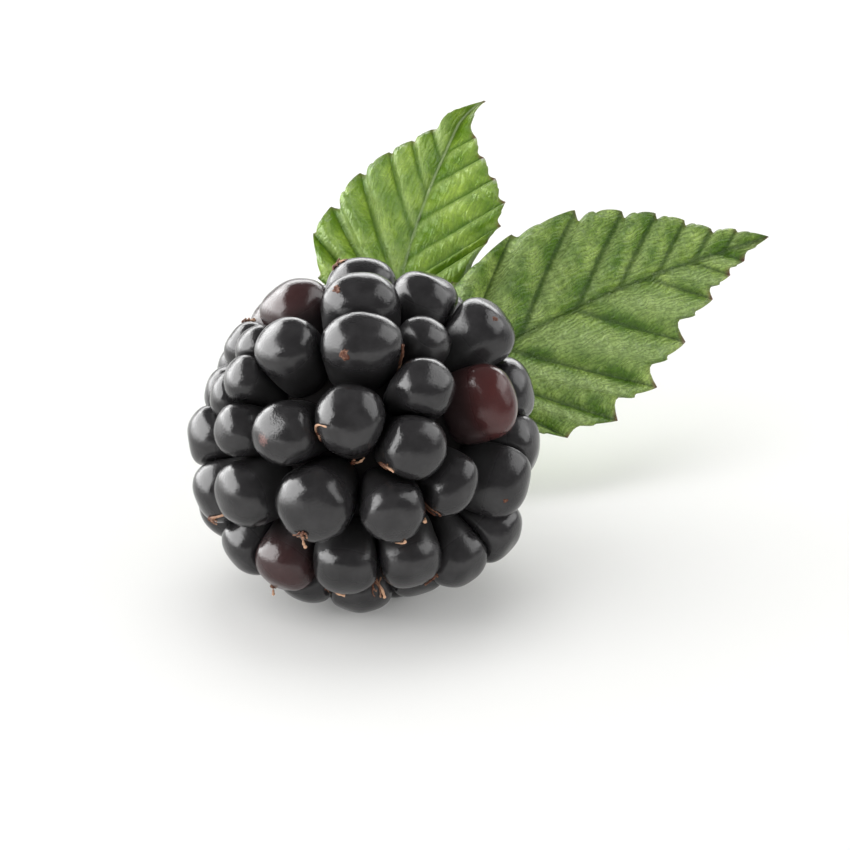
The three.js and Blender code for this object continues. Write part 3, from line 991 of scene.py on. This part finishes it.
@dataclass
class Styles:
    """The dried styles that are left in the creases, and the scars of those that have dropped."""

    fruit: Fruit
    ground: Ground
    finish: DriedStyle = field(default_factory=DriedStyle)
    steps: int = 14
    sides: int = 8
    thickness: float = 0.09
    sunk: float = 0.05
    rooted: float = 0.3
    clearance: float = 0.15
    knobs: float = 0.22
    limits: Pair = (0.45, 1.6)
    hidden_count: int = 26
    hidden_from_tip: Pair = (98, 140)
    hidden_span: Pair = (7, 12)
    hidden_stand: Pair = (0.1, 0.6)
    hidden_bow: Pair = (-0.4, 0.4)
    tuft_count: int = 4
    tuft_fan: float = 1.1
    tuft_span: Pair = (1.6, 3.6)
    tuft_spread: float = 0.8
    tuft_stand: Pair = (0.0, 0.25)
    tuft_bow: Pair = (-0.15, 0.15)
    tuft_thickness: float = 0.7
    tuft_age: Pair = (0.0, 0.4)
    scar_sides: int = 26
    scar_base: float = 8.5
    scar_lift: float = 0.025
    scar_torn: float = 0.42
    tear_spacing: float = 1.1
    flesh_spacing: float = 1.6
    full_scar: float = 0.3
    seed: int = 3

    def course(self, style: Sequence[float]) -> Array:
        """Lays one style over the skin.

        Args:
            style: A row of STYLES.

        Returns:
            Places along it in the fruit's frame, from root to end.
        """
        from_tip, turn, end_from_tip, end_turn, stand, bow = style
        root, end = sphere_way(from_tip, turn), sphere_way(end_from_tip, end_turn)
        across = unit(np.cross(root, end))
        shares = np.linspace(0, 1, self.steps)
        swing = bow * np.sin(math.pi * shares) / self.fruit.seat_radius
        ways = unit(root + (end - root) * shares[:, None] + across * swing[:, None])
        reach = np.array([np.linalg.norm(self.fruit.touch(way)[0]) for way in ways])
        padded = np.pad(reach, 2, mode="edge")
        smooth = np.mean([padded[k : k + self.steps] for k in range(5)], axis=0)
        height = np.maximum(smooth, reach - self.sunk) + self.thickness + stand * shares**1.5
        height[0] = reach[0] - self.rooted
        return ways * height[:, None]

    def hidden_styles(self) -> list[tuple[float, ...]]:
        """Draws styles for the sides and the back, each from a crease out over a drupelet."""
        rng = np.random.default_rng(self.seed)
        rows = []
        for _ in range(self.hidden_count):
            from_tip, turn = rng.uniform(*self.hidden_from_tip), rng.uniform(0, 360)
            heading, span = rng.uniform(0, 2 * math.pi), rng.uniform(*self.hidden_span)
            end = (from_tip + span * math.cos(heading), turn + span * math.sin(heading))
            form = (rng.uniform(*self.hidden_stand), rng.uniform(*self.hidden_bow))
            rows.append((from_tip, turn, *end, *form))
        return rows

    def tuft(self, style: Sequence[float], rng: np.random.Generator) -> list[tuple[float, ...]]:
        """Draws the short broken threads round the root of a style.

        Args:
            style: A row of STYLES.
            rng: Where the numbers are drawn from.

        Returns:
            A row like the style's for each thread.
        """
        from_tip, turn, end_from_tip, end_turn = style[:4]
        squeeze = 1 / max(0.3, math.sin(math.radians(from_tip)))
        heading = math.atan2((end_turn - turn) / squeeze, end_from_tip - from_tip)
        rows, off = [], (-self.tuft_spread, self.tuft_spread)
        for _ in range(self.tuft_count):
            fan, span = heading + rng.uniform(-self.tuft_fan, self.tuft_fan), rng.uniform(*self.tuft_span)
            root = (from_tip + rng.uniform(*off), turn + rng.uniform(*off) * squeeze)
            end = (root[0] + span * math.cos(fan), root[1] + span * math.sin(fan) * squeeze)
            rows.append((*root, *end, rng.uniform(*self.tuft_stand), rng.uniform(*self.tuft_bow)))
        return rows

    def threads(self) -> bpy.types.Object:
        """Builds all styles and their tufts as swept threads, each with a small knob near its end."""
        rng = np.random.default_rng(self.seed)
        shares = np.linspace(0, 1, self.steps)
        taper = 1.2 - 0.6 * shares + 0.45 * dip(shares - 0.97, 0.08)
        places, thick, age = [], [], []
        for style in [*STYLES, *self.hidden_styles()]:
            for number, row in enumerate([style, *self.tuft(style, rng)]):
                knobs = 1 + self.knobs * np.convolve(rng.normal(size=self.steps + 2), [0.5, 1, 0.5], "valid")
                size, old = (self.tuft_thickness, rng.uniform(*self.tuft_age)) if number else (1.0, 1.0)
                places.append(self.course(row))
                thick.append(self.thickness * np.clip(taper * knobs, *self.limits) * size)
                age.append(shares * old)
        lying = self.fruit.lying(np.concatenate(places))
        lying[:, 2] = np.maximum(lying[:, 2], self.clearance)
        placed, marks = self.ground.placed(lying), {"share": np.concatenate(age)}
        return swept("threads", placed, np.concatenate(thick), marks, self.material, self.sides, self.steps)

    def scar(self, row: Sequence[float], number: int) -> bpy.types.Object:
        """Shapes one scar: a small ragged crater with a raised rim.

        Args:
            row: A row of SCARS.
            number: Its number, which picks how it is torn.

        Returns:
            The scar's own mesh object.
        """
        from_tip, turn, radius, pale = row
        way = sphere_way(from_tip, turn)
        side = unit(np.cross(way, (0.3, 0.5, 0.8)))
        over = np.cross(way, side)
        ring = circle(self.scar_sides)
        torn = 1 + self.scar_torn * ripple(ring, self.tear_spacing, number)
        patchy = np.clip(0.55 + 0.6 * ripple(ring, self.flesh_spacing, number + 20), 0, 1)
        places, share = [way * self.scar_base], [0.0]
        for reach, rise, light in SCAR_RINGS:
            for (right, up, _), tear, flesh in zip(ring, torn, patchy):
                shift = (side * right + over * up) * radius * reach * tear
                place, normal = self.fruit.touch(unit(way * self.fruit.seat_radius + shift))
                lift = self.scar_lift + rise * (0.4 + 0.8 * flesh)
                places.append(place + normal * lift * min(1.0, radius / self.full_scar))
                share.append(light * pale * flesh)
        first = len(places) - len(ring)
        faces = ring_faces(len(SCAR_RINGS), len(ring), 1).tolist()
        faces += [[0, first + (k + 1) % len(ring), first + k] for k in range(len(ring))]
        faces.append([1 + k for k in range(len(ring))])
        lying = self.fruit.lying(np.array(places))
        made = make_object(f"scar_{number}", self.ground.placed(lying), faces, {"share": np.array(share)})
        made.data.materials.append(self.material)
        return made

    def build(self) -> None:
        """Builds the styles and scars as one piece."""
        self.material = self.finish.material()
        scars = [self.scar(row, number) for number, row in enumerate(SCARS)]
        dress(joined("dried_styles", [self.threads(), *scars]))


# ---- Calyx and stalk ----


@dataclass
class Calyx:
    """The shallow cup behind the fruit, and the five sepals that spring from its rim."""

    fruit: Fruit
    ground: Ground
    finish: Felt = field(default_factory=Felt)
    down: Down = Down(per_mm2=26.0, length=0.5, thickness=0.018, lean=0.7)
    # radius and place along the fruit's axis, from the stalk round to the fruit
    cup_profile: Sequence[Pair] = (
        (0.01, -10.6), (0.95, -10.6), (1.508, -10.296), (2.262, -9.802), (2.9, -9.042), (2.813, -8.7),
        (1.74, -8.82), (0.01, -8.82),
    )  # fmt: skip
    cup_rings: int = 40
    cup_sides: int = 72
    cup_ribs: float = 0.03
    sepal_count: int = 5
    sepal_root: Pair = (3.0, -9.4)
    sepal_length: float = 5.6
    sepal_width: float = 3.8
    sepal_thickness: float = 0.3
    sepal_rows: int = 34
    sepal_columns: int = 19
    bend_back: float = 32.0
    hollow: float = 0.35
    keel: float = 0.1
    keel_width: float = 0.18
    wave: float = 0.1

    def cup(self) -> bpy.types.Object:
        """Turns the cup about the fruit's axis, softly ribbed below each sepal."""
        outline = smooth_course(np.array(self.cup_profile), self.cup_rings)
        around = np.linspace(0, 2 * math.pi, self.cup_sides, endpoint=False)
        radii = outline[:, :1] * (1 + self.cup_ribs * np.cos(self.sepal_count * (around - math.pi / 2)))
        depth = np.broadcast_to(outline[:, 1:2], radii.shape)
        places = np.stack([radii * np.cos(around), radii * np.sin(around), depth], axis=-1).reshape(-1, 3)
        ring = list(range(self.cup_sides))
        quads = ring_faces(self.cup_rings, self.cup_sides)[:, [0, 3, 2, 1]]
        faces = [*quads.tolist(), ring[::-1], [len(places) - self.cup_sides + k for k in ring]]
        bare = make_object("bare_cup", self.ground.placed(self.fruit.lying(places)), faces)
        return self.down.over("cup_felt", bare, self.material, 1)

    def sepal(self, number: int) -> bpy.types.Object:
        """Shapes one pointed sepal, bent back towards the stalk, keeled along its middle."""
        along = np.linspace(0, 1, self.sepal_rows)[:, None]
        across = np.linspace(-1, 1, self.sepal_columns)[None, :]
        half_width = self.sepal_width * (0.31 + 0.75 * along - 0.98 * along**2) - 0.26 * along**7
        bend = math.radians(self.bend_back)
        out = self.sepal_root[0] + self.sepal_length * along * math.cos(bend) + 0 * across
        depth = self.sepal_root[1] - self.sepal_length * along * math.sin(bend) - 0.8 * along**2
        waved = self.wave * np.sin(5 * along + number) * across
        keel = self.keel * dip(across, self.keel_width) * (1 - along)
        depth = depth + self.hollow * across**2 + waved - keel
        places = np.stack([out, half_width * across, depth], axis=-1)
        thick = self.sepal_thickness * (1 - 0.6 * across**4) * (1 - 0.5 * along)
        square = np.array([math.sin(bend), 0, math.cos(bend)]) * thick[..., None] / 2
        turn = math.radians(90 + 360 / self.sepal_count * number)
        cos, sin = math.cos(turn), math.sin(turn)
        spin = np.array([(cos, -sin, 0), (sin, cos, 0), (0, 0, 1)])
        both = np.concatenate([(places + square).reshape(-1, 3), (places - square).reshape(-1, 3)]) @ spin.T
        faces = slab_faces(self.sepal_rows, self.sepal_columns)
        bare = make_object("bare_sepal", self.ground.placed(self.fruit.lying(both)), faces)
        return self.down.over(f"sepal_felt_{number + 1}", bare, self.material, number + 2)

    def build(self) -> None:
        """Builds the cup and its sepals, one piece each."""
        self.material = self.finish.material()
        dress(self.cup(), ["calyx_cup"])
        for number in range(self.sepal_count):
            dress(self.sepal(number), [f"sepal_{number + 1}"])


@dataclass
class Stalk:
    """The green stalk from the cup to its cut end, swollen where the leaves join."""

    ground: Ground
    finish: Felt = field(default_factory=lambda: Felt("young_stalk_bark", "#6F8440", "#8B9A5C", 0.8))
    down: Down = Down(per_mm2=12.0, length=0.35, thickness=0.015, lean=0.8)
    course: Sequence[Point] = (
        (0, 9.95, 7.44), (0.6, 12.8, 6.4), (1.5, 15.1, 5.6), (2.6, 17.8, 4.8), (4.2, 21, 3.6),
        (5.6, 23.6, 2.1), (6.5, 25.2, 0.75),
    )  # fmt: skip
    joints: Sequence[int] = (2, 3)
    slender: float = 0.72
    stout: float = 0.98
    stout_from: float = 0.3
    stout_over: float = 0.12
    swelling: float = 0.42
    swelling_reach: float = 0.9
    steps: int = 120
    sides: int = 28
    cut_rings: Sequence[float] = (0.93, 0.7, 0.45, 0.2, 0.02)
    cut_step: float = 0.02
    seed: int = 9

    def build(self) -> None:
        """Builds the stalk as one piece."""
        points = smooth_course(np.array(self.course), self.steps)
        share = np.clip((np.linspace(0, 1, self.steps) - self.stout_from) / self.stout_over, 0, 1)
        thick = self.slender + (self.stout - self.slender) * share
        for joint in self.joints:
            away = np.linalg.norm(points - self.course[joint], axis=1)
            thick = thick + self.swelling * dip(away, self.swelling_reach)
        rings = len(self.cut_rings)
        cut = points[-1] + unit(points[-1] - points[-2]) * self.cut_step * np.arange(1, rings + 1)[:, None]
        placed = self.ground.placed(np.concatenate([points, cut]))
        thick = np.concatenate([thick, self.stout * np.array(self.cut_rings)])
        marks = {"pith": np.concatenate([np.zeros(self.steps + 1), np.ones(rings - 1)])}
        material = self.finish.material()
        bare = swept("bare_stalk", placed, thick, marks, material, self.sides)
        piece = self.down.over("stalk_bark", bare, material, self.seed)
        for vertex in piece.data.vertices:
            vertex.co.z = max(vertex.co.z, 0.0)
        dress(piece, ["stalk"])


# ---- Leaves ----


@dataclass(frozen=True)
class Edge:
    """One half's margin, with its teeth as places along the midrib and out.

    Notch is the depth of its deepest notch, sweep how far its side veins slant back, rust how brown the
    tips of its teeth are, and lean how far its pleats lean over.
    """

    margin: Margin
    teeth: Sequence[Pair]
    notch: float
    sweep: float
    rust: float
    lean: float = 1.6


@dataclass
class Leaf:
    """One toothed leaf: a pleated blade either side of its midrib, with the leaf stalk it stands on."""

    node: str
    ground: Ground
    finish: LeafBlade
    base: Point
    heading: float
    climb: float
    roll: float
    length: float
    bow: float
    droop: float
    petiole: Sequence[Point]
    edges: Mapping[Half, Edge]
    hook: float = 0.0
    hook_start: float = 0.86
    fold: float = 0.16
    pleat: float = 0.25
    pleat_reach: float = 1.2
    pleat_at_edge: float = 0.55
    full_tooth: float = 4.0
    least_tooth: float = 0.2
    calm_teeth: int = 3
    calm: float = 0.4
    belly: float = 0.12
    overlap: float = 0.05
    thickness: float = 0.2
    edge_thickness: float = 0.45
    vein_reach: float = 0.12
    rung_spacing: float = 0.95
    rung_waver: float = 0.35
    rung_waver_spacing: float = 2.0
    rung_depth: float = 0.07
    lump: float = 0.07
    lump_spacing: float = 0.95
    midrib_groove: float = 0.2
    midrib_reach: float = 0.4
    vein_groove: float = 0.07
    rust_reach: float = 0.26
    tooth_reach: float = 0.45
    rib_thickness: float = 0.3
    rib_depth: Pair = (0.37, 0.29)
    rib_end: float = 0.97
    rib_steps: int = 40
    rib_sides: int = 16
    petiole_thickness: float = 0.42
    columns: int = 64
    seed: int = 11

    def __post_init__(self) -> None:
        """Works out the leaf's own directions: along its midrib, to its left, and out of its upper face."""
        heading, climb, roll = (math.radians(angle) for angle in (self.heading, self.climb, self.roll))
        level = np.array([-math.sin(heading), math.cos(heading), 0])
        flat = np.array([math.cos(heading), math.sin(heading), 0])
        self.along = flat * math.cos(climb) + np.array([0, 0, math.sin(climb)])
        self.left = level * math.cos(roll) + np.cross(self.along, level) * math.sin(roll)
        self.up = np.cross(self.along, self.left)

    def place(self, along: Array, left: Array, raised: Array | float = 0.0) -> Array:
        """Gives a place of the blade.

        Args:
            along: Distance along the midrib.
            left: Distance to its left.
            raised: Height above the blade's smooth middle surface.

        Returns:
            The place in the sprig's axes.
        """
        share = np.clip(along / self.length, 0, 1)
        hooked = self.hook * np.clip((share - self.hook_start) / (1 - self.hook_start), 0, 1) ** 2
        bowed = left + self.bow * np.sin(math.pi * share) - hooked
        height = self.fold * np.abs(left) - self.droop * share**2 + raised
        steps = ((along, self.along), (bowed, self.left), (height, self.up))
        return sum((np.multiply.outer(size, way) for size, way in steps), np.array(self.base))

    def half_rows(self, edge: Edge) -> tuple[Array, ...]:
        """Lays rows from the midrib to the margin, one along each side vein and many between.

        Args:
            edge: The half's margin.

        Returns:
            For each row, its start on the midrib, its end's distance along and out, the phase between
            two veins, and the spacing of those veins at the margin.
        """
        points = np.array([(0.4, 0.5), *edge.teeth, (self.length, 0.0)])
        starts = np.maximum(points[:, 0] * 0.25, points[:, 0] - edge.sweep * points[:, 1])
        starts[-1] = self.length - 0.3
        rows = []
        last = len(points) - 2
        for k in range(last + 1):
            chord = points[k + 1] - points[k]
            span = float(np.hypot(*chord))
            inward = np.array([chord[1], -chord[0]]) / span
            calm = self.calm if k < self.calm_teeth or k == last else 1.0
            depth = edge.notch * min(1.0, max(self.least_tooth, span / self.full_tooth)) ** 1.5 * calm
            for share, deep in edge.margin.value:
                along, out = points[k] + chord * share + inward * deep * depth
                start = starts[k] + (starts[k + 1] - starts[k]) * share
                rows.append((start, along, max(out, 0.05), share, span))
        rows.append((starts[-1], self.length, 0.05, 1.0, 1.0))
        refined = []
        for first, second in zip(rows, rows[1:]):
            phase = 1.0 if second[3] == 0 else second[3]
            middle = [(a + b) / 2 for a, b in zip(first, (*second[:3], phase, first[4]))]
            refined += [first, tuple(middle)]
        refined.append(rows[-1])
        return tuple(np.array(refined).T)

    def half(self, side: Half, edge: Edge) -> bpy.types.Object:
        """Shapes half a blade as a closed shell, with the marks that its finish reads.

        Args:
            side: Which half it is.
            edge: Its margin.

        Returns:
            The half.
        """
        start, end_along, end_out, phase, span = (row[:, None] for row in self.half_rows(edge))
        share = np.linspace(0, 1, self.columns)[None, :] ** 0.85
        along = start + (end_along - start) * share
        out = end_out * (share + self.belly * share * (1 - share)) - self.overlap * (1 - share)
        spacing = span * (0.25 + 0.75 * share)
        fall = 1 - phase if side is Half.LEFT else phase
        wave = np.abs(np.sin(math.pi * fall**edge.lean)) ** 0.95
        to_vein = np.minimum(phase, 1 - phase) * spacing
        # Painted sheen: a band along one slope of each pleat beside its vein, over the pleat's top where the
        # pleats don't lean.
        steep_side = fall**1.5 * np.clip(to_vein / self.vein_reach, 0, 1)
        painted_sheen_band = wave + (steep_side - wave) * (edge.lean - 1) / 0.6
        distance = np.hypot(end_along - start, end_out) * share
        places = self.place(along, side.value * out)
        waver = self.rung_waver * ripple(places, self.rung_waver_spacing, self.seed)
        rungs = np.cos(2 * math.pi * (distance / self.rung_spacing + waver))
        inner = np.clip((1 - share) * 12, 0, 1)
        pleats = self.pleat * spacing * wave * np.clip(out / self.pleat_reach, 0, 1)
        relief = pleats * (self.pleat_at_edge + (1 - self.pleat_at_edge) * inner)
        relief = relief - self.rung_depth * np.clip(rungs, 0, 1) ** 4 * wave * inner
        relief = relief + self.lump * ripple(places, self.lump_spacing, self.seed + 1) * np.sqrt(wave) * inner
        relief = relief - self.midrib_groove * dip(out, self.midrib_reach)
        relief = relief - self.vein_groove * dip(to_vein, self.vein_reach) * inner
        thick = self.thickness * (self.edge_thickness + (1 - self.edge_thickness) * inner)
        faces = slab_faces(*along.shape, flip=side is Half.RIGHT)
        rust = np.clip(1.1 - (1 - share) * end_out / self.rust_reach, 0, 1)
        rust = rust * np.clip(1.15 - np.minimum(phase, 1 - phase) * span / self.tooth_reach, 0.2, 1)
        marks = {
            # Upper face: painted shade in the vein valleys, partly the veins' own darker green; lower face:
            # the pale veins.
            "groove": np.clip(dip(to_vein, 0.1) + dip(out, 0.16), 0, 1),
            "rib": dip(out, 0.1),
            "rust": np.clip(rust * edge.rust, 0, 1),
            # Where the painted sheen lies.
            "painted_sheen_band": painted_sheen_band * inner,
            "rung": distance,
            "lane": to_vein,
        }
        marks = {name: np.tile(np.broadcast_to(mark, along.shape).ravel(), 2) for name, mark in marks.items()}
        marks["under"] = np.repeat((0.0, 1.0), along.size)
        both = [self.place(along, side.value * out, relief + thick * face) for face in (0.5, -0.5)]
        placed = self.ground.placed(np.concatenate(both).reshape(-1, 3))
        made = make_object(f"half_{side.name}", placed, faces, marks)
        made.data.materials.append(self.material)
        return made

    def rib(self) -> bpy.types.Object:
        """Sweeps the leaf stalk and the midrib that it runs on into, beneath the blade."""
        shares = np.linspace(0, self.rib_end, self.rib_steps)
        root, tip = self.rib_depth
        under = self.place(shares * self.length, 0 * shares, (tip - root) * (1 - shares) - tip)
        points = np.concatenate([np.array(self.petiole), under])
        stalk = [self.petiole_thickness] * len(self.petiole)
        thick = np.concatenate([stalk, self.rib_thickness * (1 - 0.8 * shares)])
        none = dict.fromkeys(("rib", "rust", "painted_sheen_band", "rung", "lane"), 0.0)
        strength = {"under": 0.7, "groove": 0.6, **none}
        marks = {name: np.full(len(points), value) for name, value in strength.items()}
        return swept("rib", self.ground.placed(points), thick, marks, self.material, self.rib_sides)

    def build(self) -> None:
        """Builds the leaf as one piece."""
        self.material = self.finish.material()
        halves = [self.half(side, edge) for side, edge in self.edges.items()]
        dress(joined(self.node + "_blade", [*halves, self.rib()]), [self.node])


def leaves(ground: Ground) -> list[Leaf]:
    """Gives the two leaves as they stand behind the fruit."""
    right_edges = {
        Half.LEFT: Edge(
            Margin.SCALLOPED,
            (
                (4.8, 6.0), (10.5, 7.0), (15.9, 6.7), (19.4, 5.3), (21.9, 4.3), (23.9, 3.1), (25.7, 1.9),
                (27.6, 1.3),
            ),
            notch=0.95, sweep=1.15, rust=0.4,
        ),
        Half.RIGHT: Edge(
            Margin.SERRATED,
            (
                (4.6, 6.4), (8.0, 8.2), (12.1, 8.8), (16.1, 7.8), (19.8, 5.5), (23.4, 3.2), (25.6, 1.9),
                (27.2, 1.2),
            ),
            notch=1.3, sweep=1.25, rust=1.0, lean=1.0,
        ),
    }  # fmt: skip
    left_edges = {
        Half.LEFT: Edge(
            Margin.SCALLOPED,
            ((3.0, 6.0), (6.3, 7.1), (8.9, 6.4), (12.4, 5.2), (14.9, 3.8), (16.5, 2.6), (18.0, 1.6)),
            notch=0.75, sweep=1.6, rust=0.4,
        ),
        Half.RIGHT: Edge(
            Margin.SERRATED,
            ((4.4, 4.6), (9.7, 5.5), (11.3, 6.1), (13.4, 5.8), (15.2, 4.4), (16.8, 2.9), (18.4, 1.7)),
            notch=0.8, sweep=1.1, rust=1.0,
        ),
    }  # fmt: skip
    right = Leaf(
        node="leaf_right", ground=ground, finish=LeafBlade("leaf_blade_right"), edges=right_edges,
        base=(4.6, 17.8, 7.85), petiole=((2.75, 17.8, 5.4), (3.1, 17.75, 6.4), (3.75, 17.7, 7.15)),
        heading=24, climb=15, roll=62, length=30.1, bow=1.0, droop=1.2, rib_thickness=0.2,
    )  # fmt: skip
    # The young leaf's greens, painted sheen and painted valley shade among them.
    young = LeafBlade(
        "leaf_blade_left", green="#587A0A", light="#8DA83B", groove="#3B5D0A", painted_sheen_green="#9CB26C",
        rib_share=0.5, speckle=0.22, grain_mm=0.08,
    )  # fmt: skip
    left = Leaf(
        node="leaf_left", ground=ground, finish=young, edges=left_edges,
        base=(1.8, 19.7, 10.8), petiole=((1.45, 15.2, 6.1), (1.45, 15.9, 7.3), (1.6, 17.5, 9.0)),
        heading=66, climb=42, roll=18, length=22.0, bow=0.8, droop=0.9, hook=1.0, pleat=0.31, seed=23,
    )  # fmt: skip
    return [right, left]


# ---- Studio ----


@dataclass(frozen=True)
class Panel:
    """A rectangular area light that the camera doesn't see, sizes in millimetres from the fruit's middle.

    It hangs away in a direction and faces the fruit, or, where away is None, lies on the floor at a place
    and faces up. Its light says how bright its face is, where white paper in full light is 1.
    """

    name: str
    way: Point
    away: float | None
    size: Pair
    light: float
    reach: Reach = Reach.GLOSS

    def hang(self, middle: Vector) -> None:
        """Adds the light round the fruit's middle, in metres in the frame."""
        outward = Vector(self.way).normalized()
        offset = Vector(self.way) if self.away is None else outward * self.away
        facing = Vector((0, 0, 1)) if self.away is None else -outward
        data = bpy.data.lights.new(self.name, "AREA")
        data.shape, data.size, data.size_y = "RECTANGLE", self.size[0] * MM, self.size[1] * MM
        data.energy = self.light * math.pi * data.size * data.size_y
        box = linked(self.name, data)
        box.location = middle + offset * MM
        box.rotation_euler = facing.to_track_quat("-Z", "Y").to_euler()
        box.visible_camera = False
        box.visible_glossy = self.reach is not Reach.DIFFUSE
        box.visible_diffuse = self.reach is not Reach.GLOSS


# The softboxes, then the glow of the floor at the foot of the key softbox.
PANELS = (
    Panel("key_softbox", (-0.9, 0.12, 0.43), 320, (600, 300), 8.5),
    Panel("side_window", (0.79, 0.08, 0.58), 400, (420, 340), 3.0),
    Panel("back_strip", (0.0, 0.9, 0.44), 480, (700, 170), 5.5),
    Panel("soft_key", (-0.62, -0.3, 0.72), 700, (700, 700), 1.0, Reach.DIFFUSE),
    Panel("overhead", (0.05, 0.3, 0.95), 600, (400, 400), 1.9, Reach.DIFFUSE),
    Panel("far_bounce", (-250, 20, -9.45), None, (150, 520), 4.0),
    Panel("near_bounce", (-125, 0, -9.45), None, (100, 420), 2.2),
)


@dataclass
class Studio:
    """The plain pale floor, the soft lights and the camera."""

    fruit: Fruit
    ground: Ground
    distance: float = 245.0
    lens: float = 152.5
    sensor: float = 36.0
    clip_metres: Pair = (0.01, 20.0)
    aim_right: float = 4.18
    aim_up: float = 0.68
    floor_radius: float = 3000.0
    floor_sides: int = 96
    floor_glow: float = 0.03

    def camera(self, middle: Vector) -> None:
        """Looks along the fruit's own axis, from above its tip."""
        tip, up = self.fruit.turn[:, 2], self.fruit.turn[:, 1]
        data = bpy.data.cameras.new("camera")
        data.lens, data.sensor_width = self.lens, self.sensor
        data.clip_start, data.clip_end = self.clip_metres
        seen_from = linked("camera", data)
        seen_from.location = middle + Vector(tip * self.distance * MM)
        aim = middle + Vector((np.array([1, 0, 0]) * self.aim_right + up * self.aim_up) * MM)
        seen_from.rotation_euler = (aim - seen_from.location).to_track_quat("-Z", "Y").to_euler()
        bpy.context.scene.camera = seen_from

    def floor(self) -> None:
        """Lays a wide white floor that glows a little, as a light table does, so shadows stay soft."""
        glow = {"Emission_Color": (1, 1, 1, 1), "Emission_Strength": self.floor_glow}
        white = {"Base_Color": linear("#F2F2F0"), "Roughness": 0.9, "Specular_IOR_Level": 0.1}
        ring = circle(self.floor_sides) * self.floor_radius * MM
        floor = make_object("floor", ring, [list(range(len(ring)))])
        floor.data.materials.append(new_material("white_floor", **white, **glow)[0])

    def surround(self) -> None:
        """Gives the room: bright low down for matt surfaces, bright only behind the fruit for glossy ones."""
        world = bpy.data.worlds.new("surround")
        world.use_nodes = True
        tree = world.node_tree
        tree.nodes.clear()
        add = partial(add_node, tree)
        way = add("ShaderNodeSeparateXYZ", {"Vector": add("ShaderNodeTexCoord").outputs["Generated"]}).outputs
        ends = ("From Min", "From Max", "To Min", "To Max")
        behind, low, ring = (
            add("ShaderNodeMapRange", {"Value": way[axis], **dict(zip(ends, span))}, interpolation_type=kind)
            for axis, kind, span in (
                ("Y", "SMOOTHSTEP", (-0.1, 0.75, 0.0, 1.0)),
                ("Z", "SMOOTHSTEP", (0.5, 0.25, 0.12, 1.0)),
                ("Z", "LINEAR", (0.2, 0.6, 4.1, 0.45)),
            )
        )
        sky = add("ShaderNodeMath", {"Value": behind, "Value_001": low}, operation="MULTIPLY")
        glossy = add("ShaderNodeMapRange", {"Value": sky, "To Min": 0.15, "To Max": 1.2})
        ray = add("ShaderNodeLightPath").outputs
        shares = {"Factor_Float": ray["Is Diffuse Ray"], "A_Float": glossy, "B_Float": ring}
        room = add("ShaderNodeBackground", {"Strength": add("ShaderNodeMix", shares, data_type="FLOAT")})
        backdrop = add("ShaderNodeBackground", {"Color": (1, 1, 1, 1), "Strength": 1.0})
        seen = {"Fac": ray["Is Camera Ray"], "Shader": room, "Shader_001": backdrop}
        add("ShaderNodeOutputWorld", {"Surface": add("ShaderNodeMixShader", seen)})
        bpy.context.scene.world = world

    def build(self) -> None:
        """Sets the whole stage."""
        middle = Vector(self.ground.placed(self.fruit.lying(np.zeros(3))))
        self.camera(middle)
        self.floor()
        self.surround()
        for panel in PANELS:
            panel.hang(middle)
        bpy.context.scene.view_settings.view_transform = "Standard"


def main() -> None:
    """Loads the frame, builds every piece round it and sets the studio."""
    logging.basicConfig(level=logging.INFO, format="%(name)s: %(message)s")
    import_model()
    fruit = Fruit()
    ground = fruit.build()
    Styles(fruit, ground).build()
    Calyx(fruit, ground).build()
    Stalk(ground).build()
    for leaf in leaves(ground):
        leaf.build()
    Studio(fruit, ground).build()


if __name__ == "__main__":
    main()
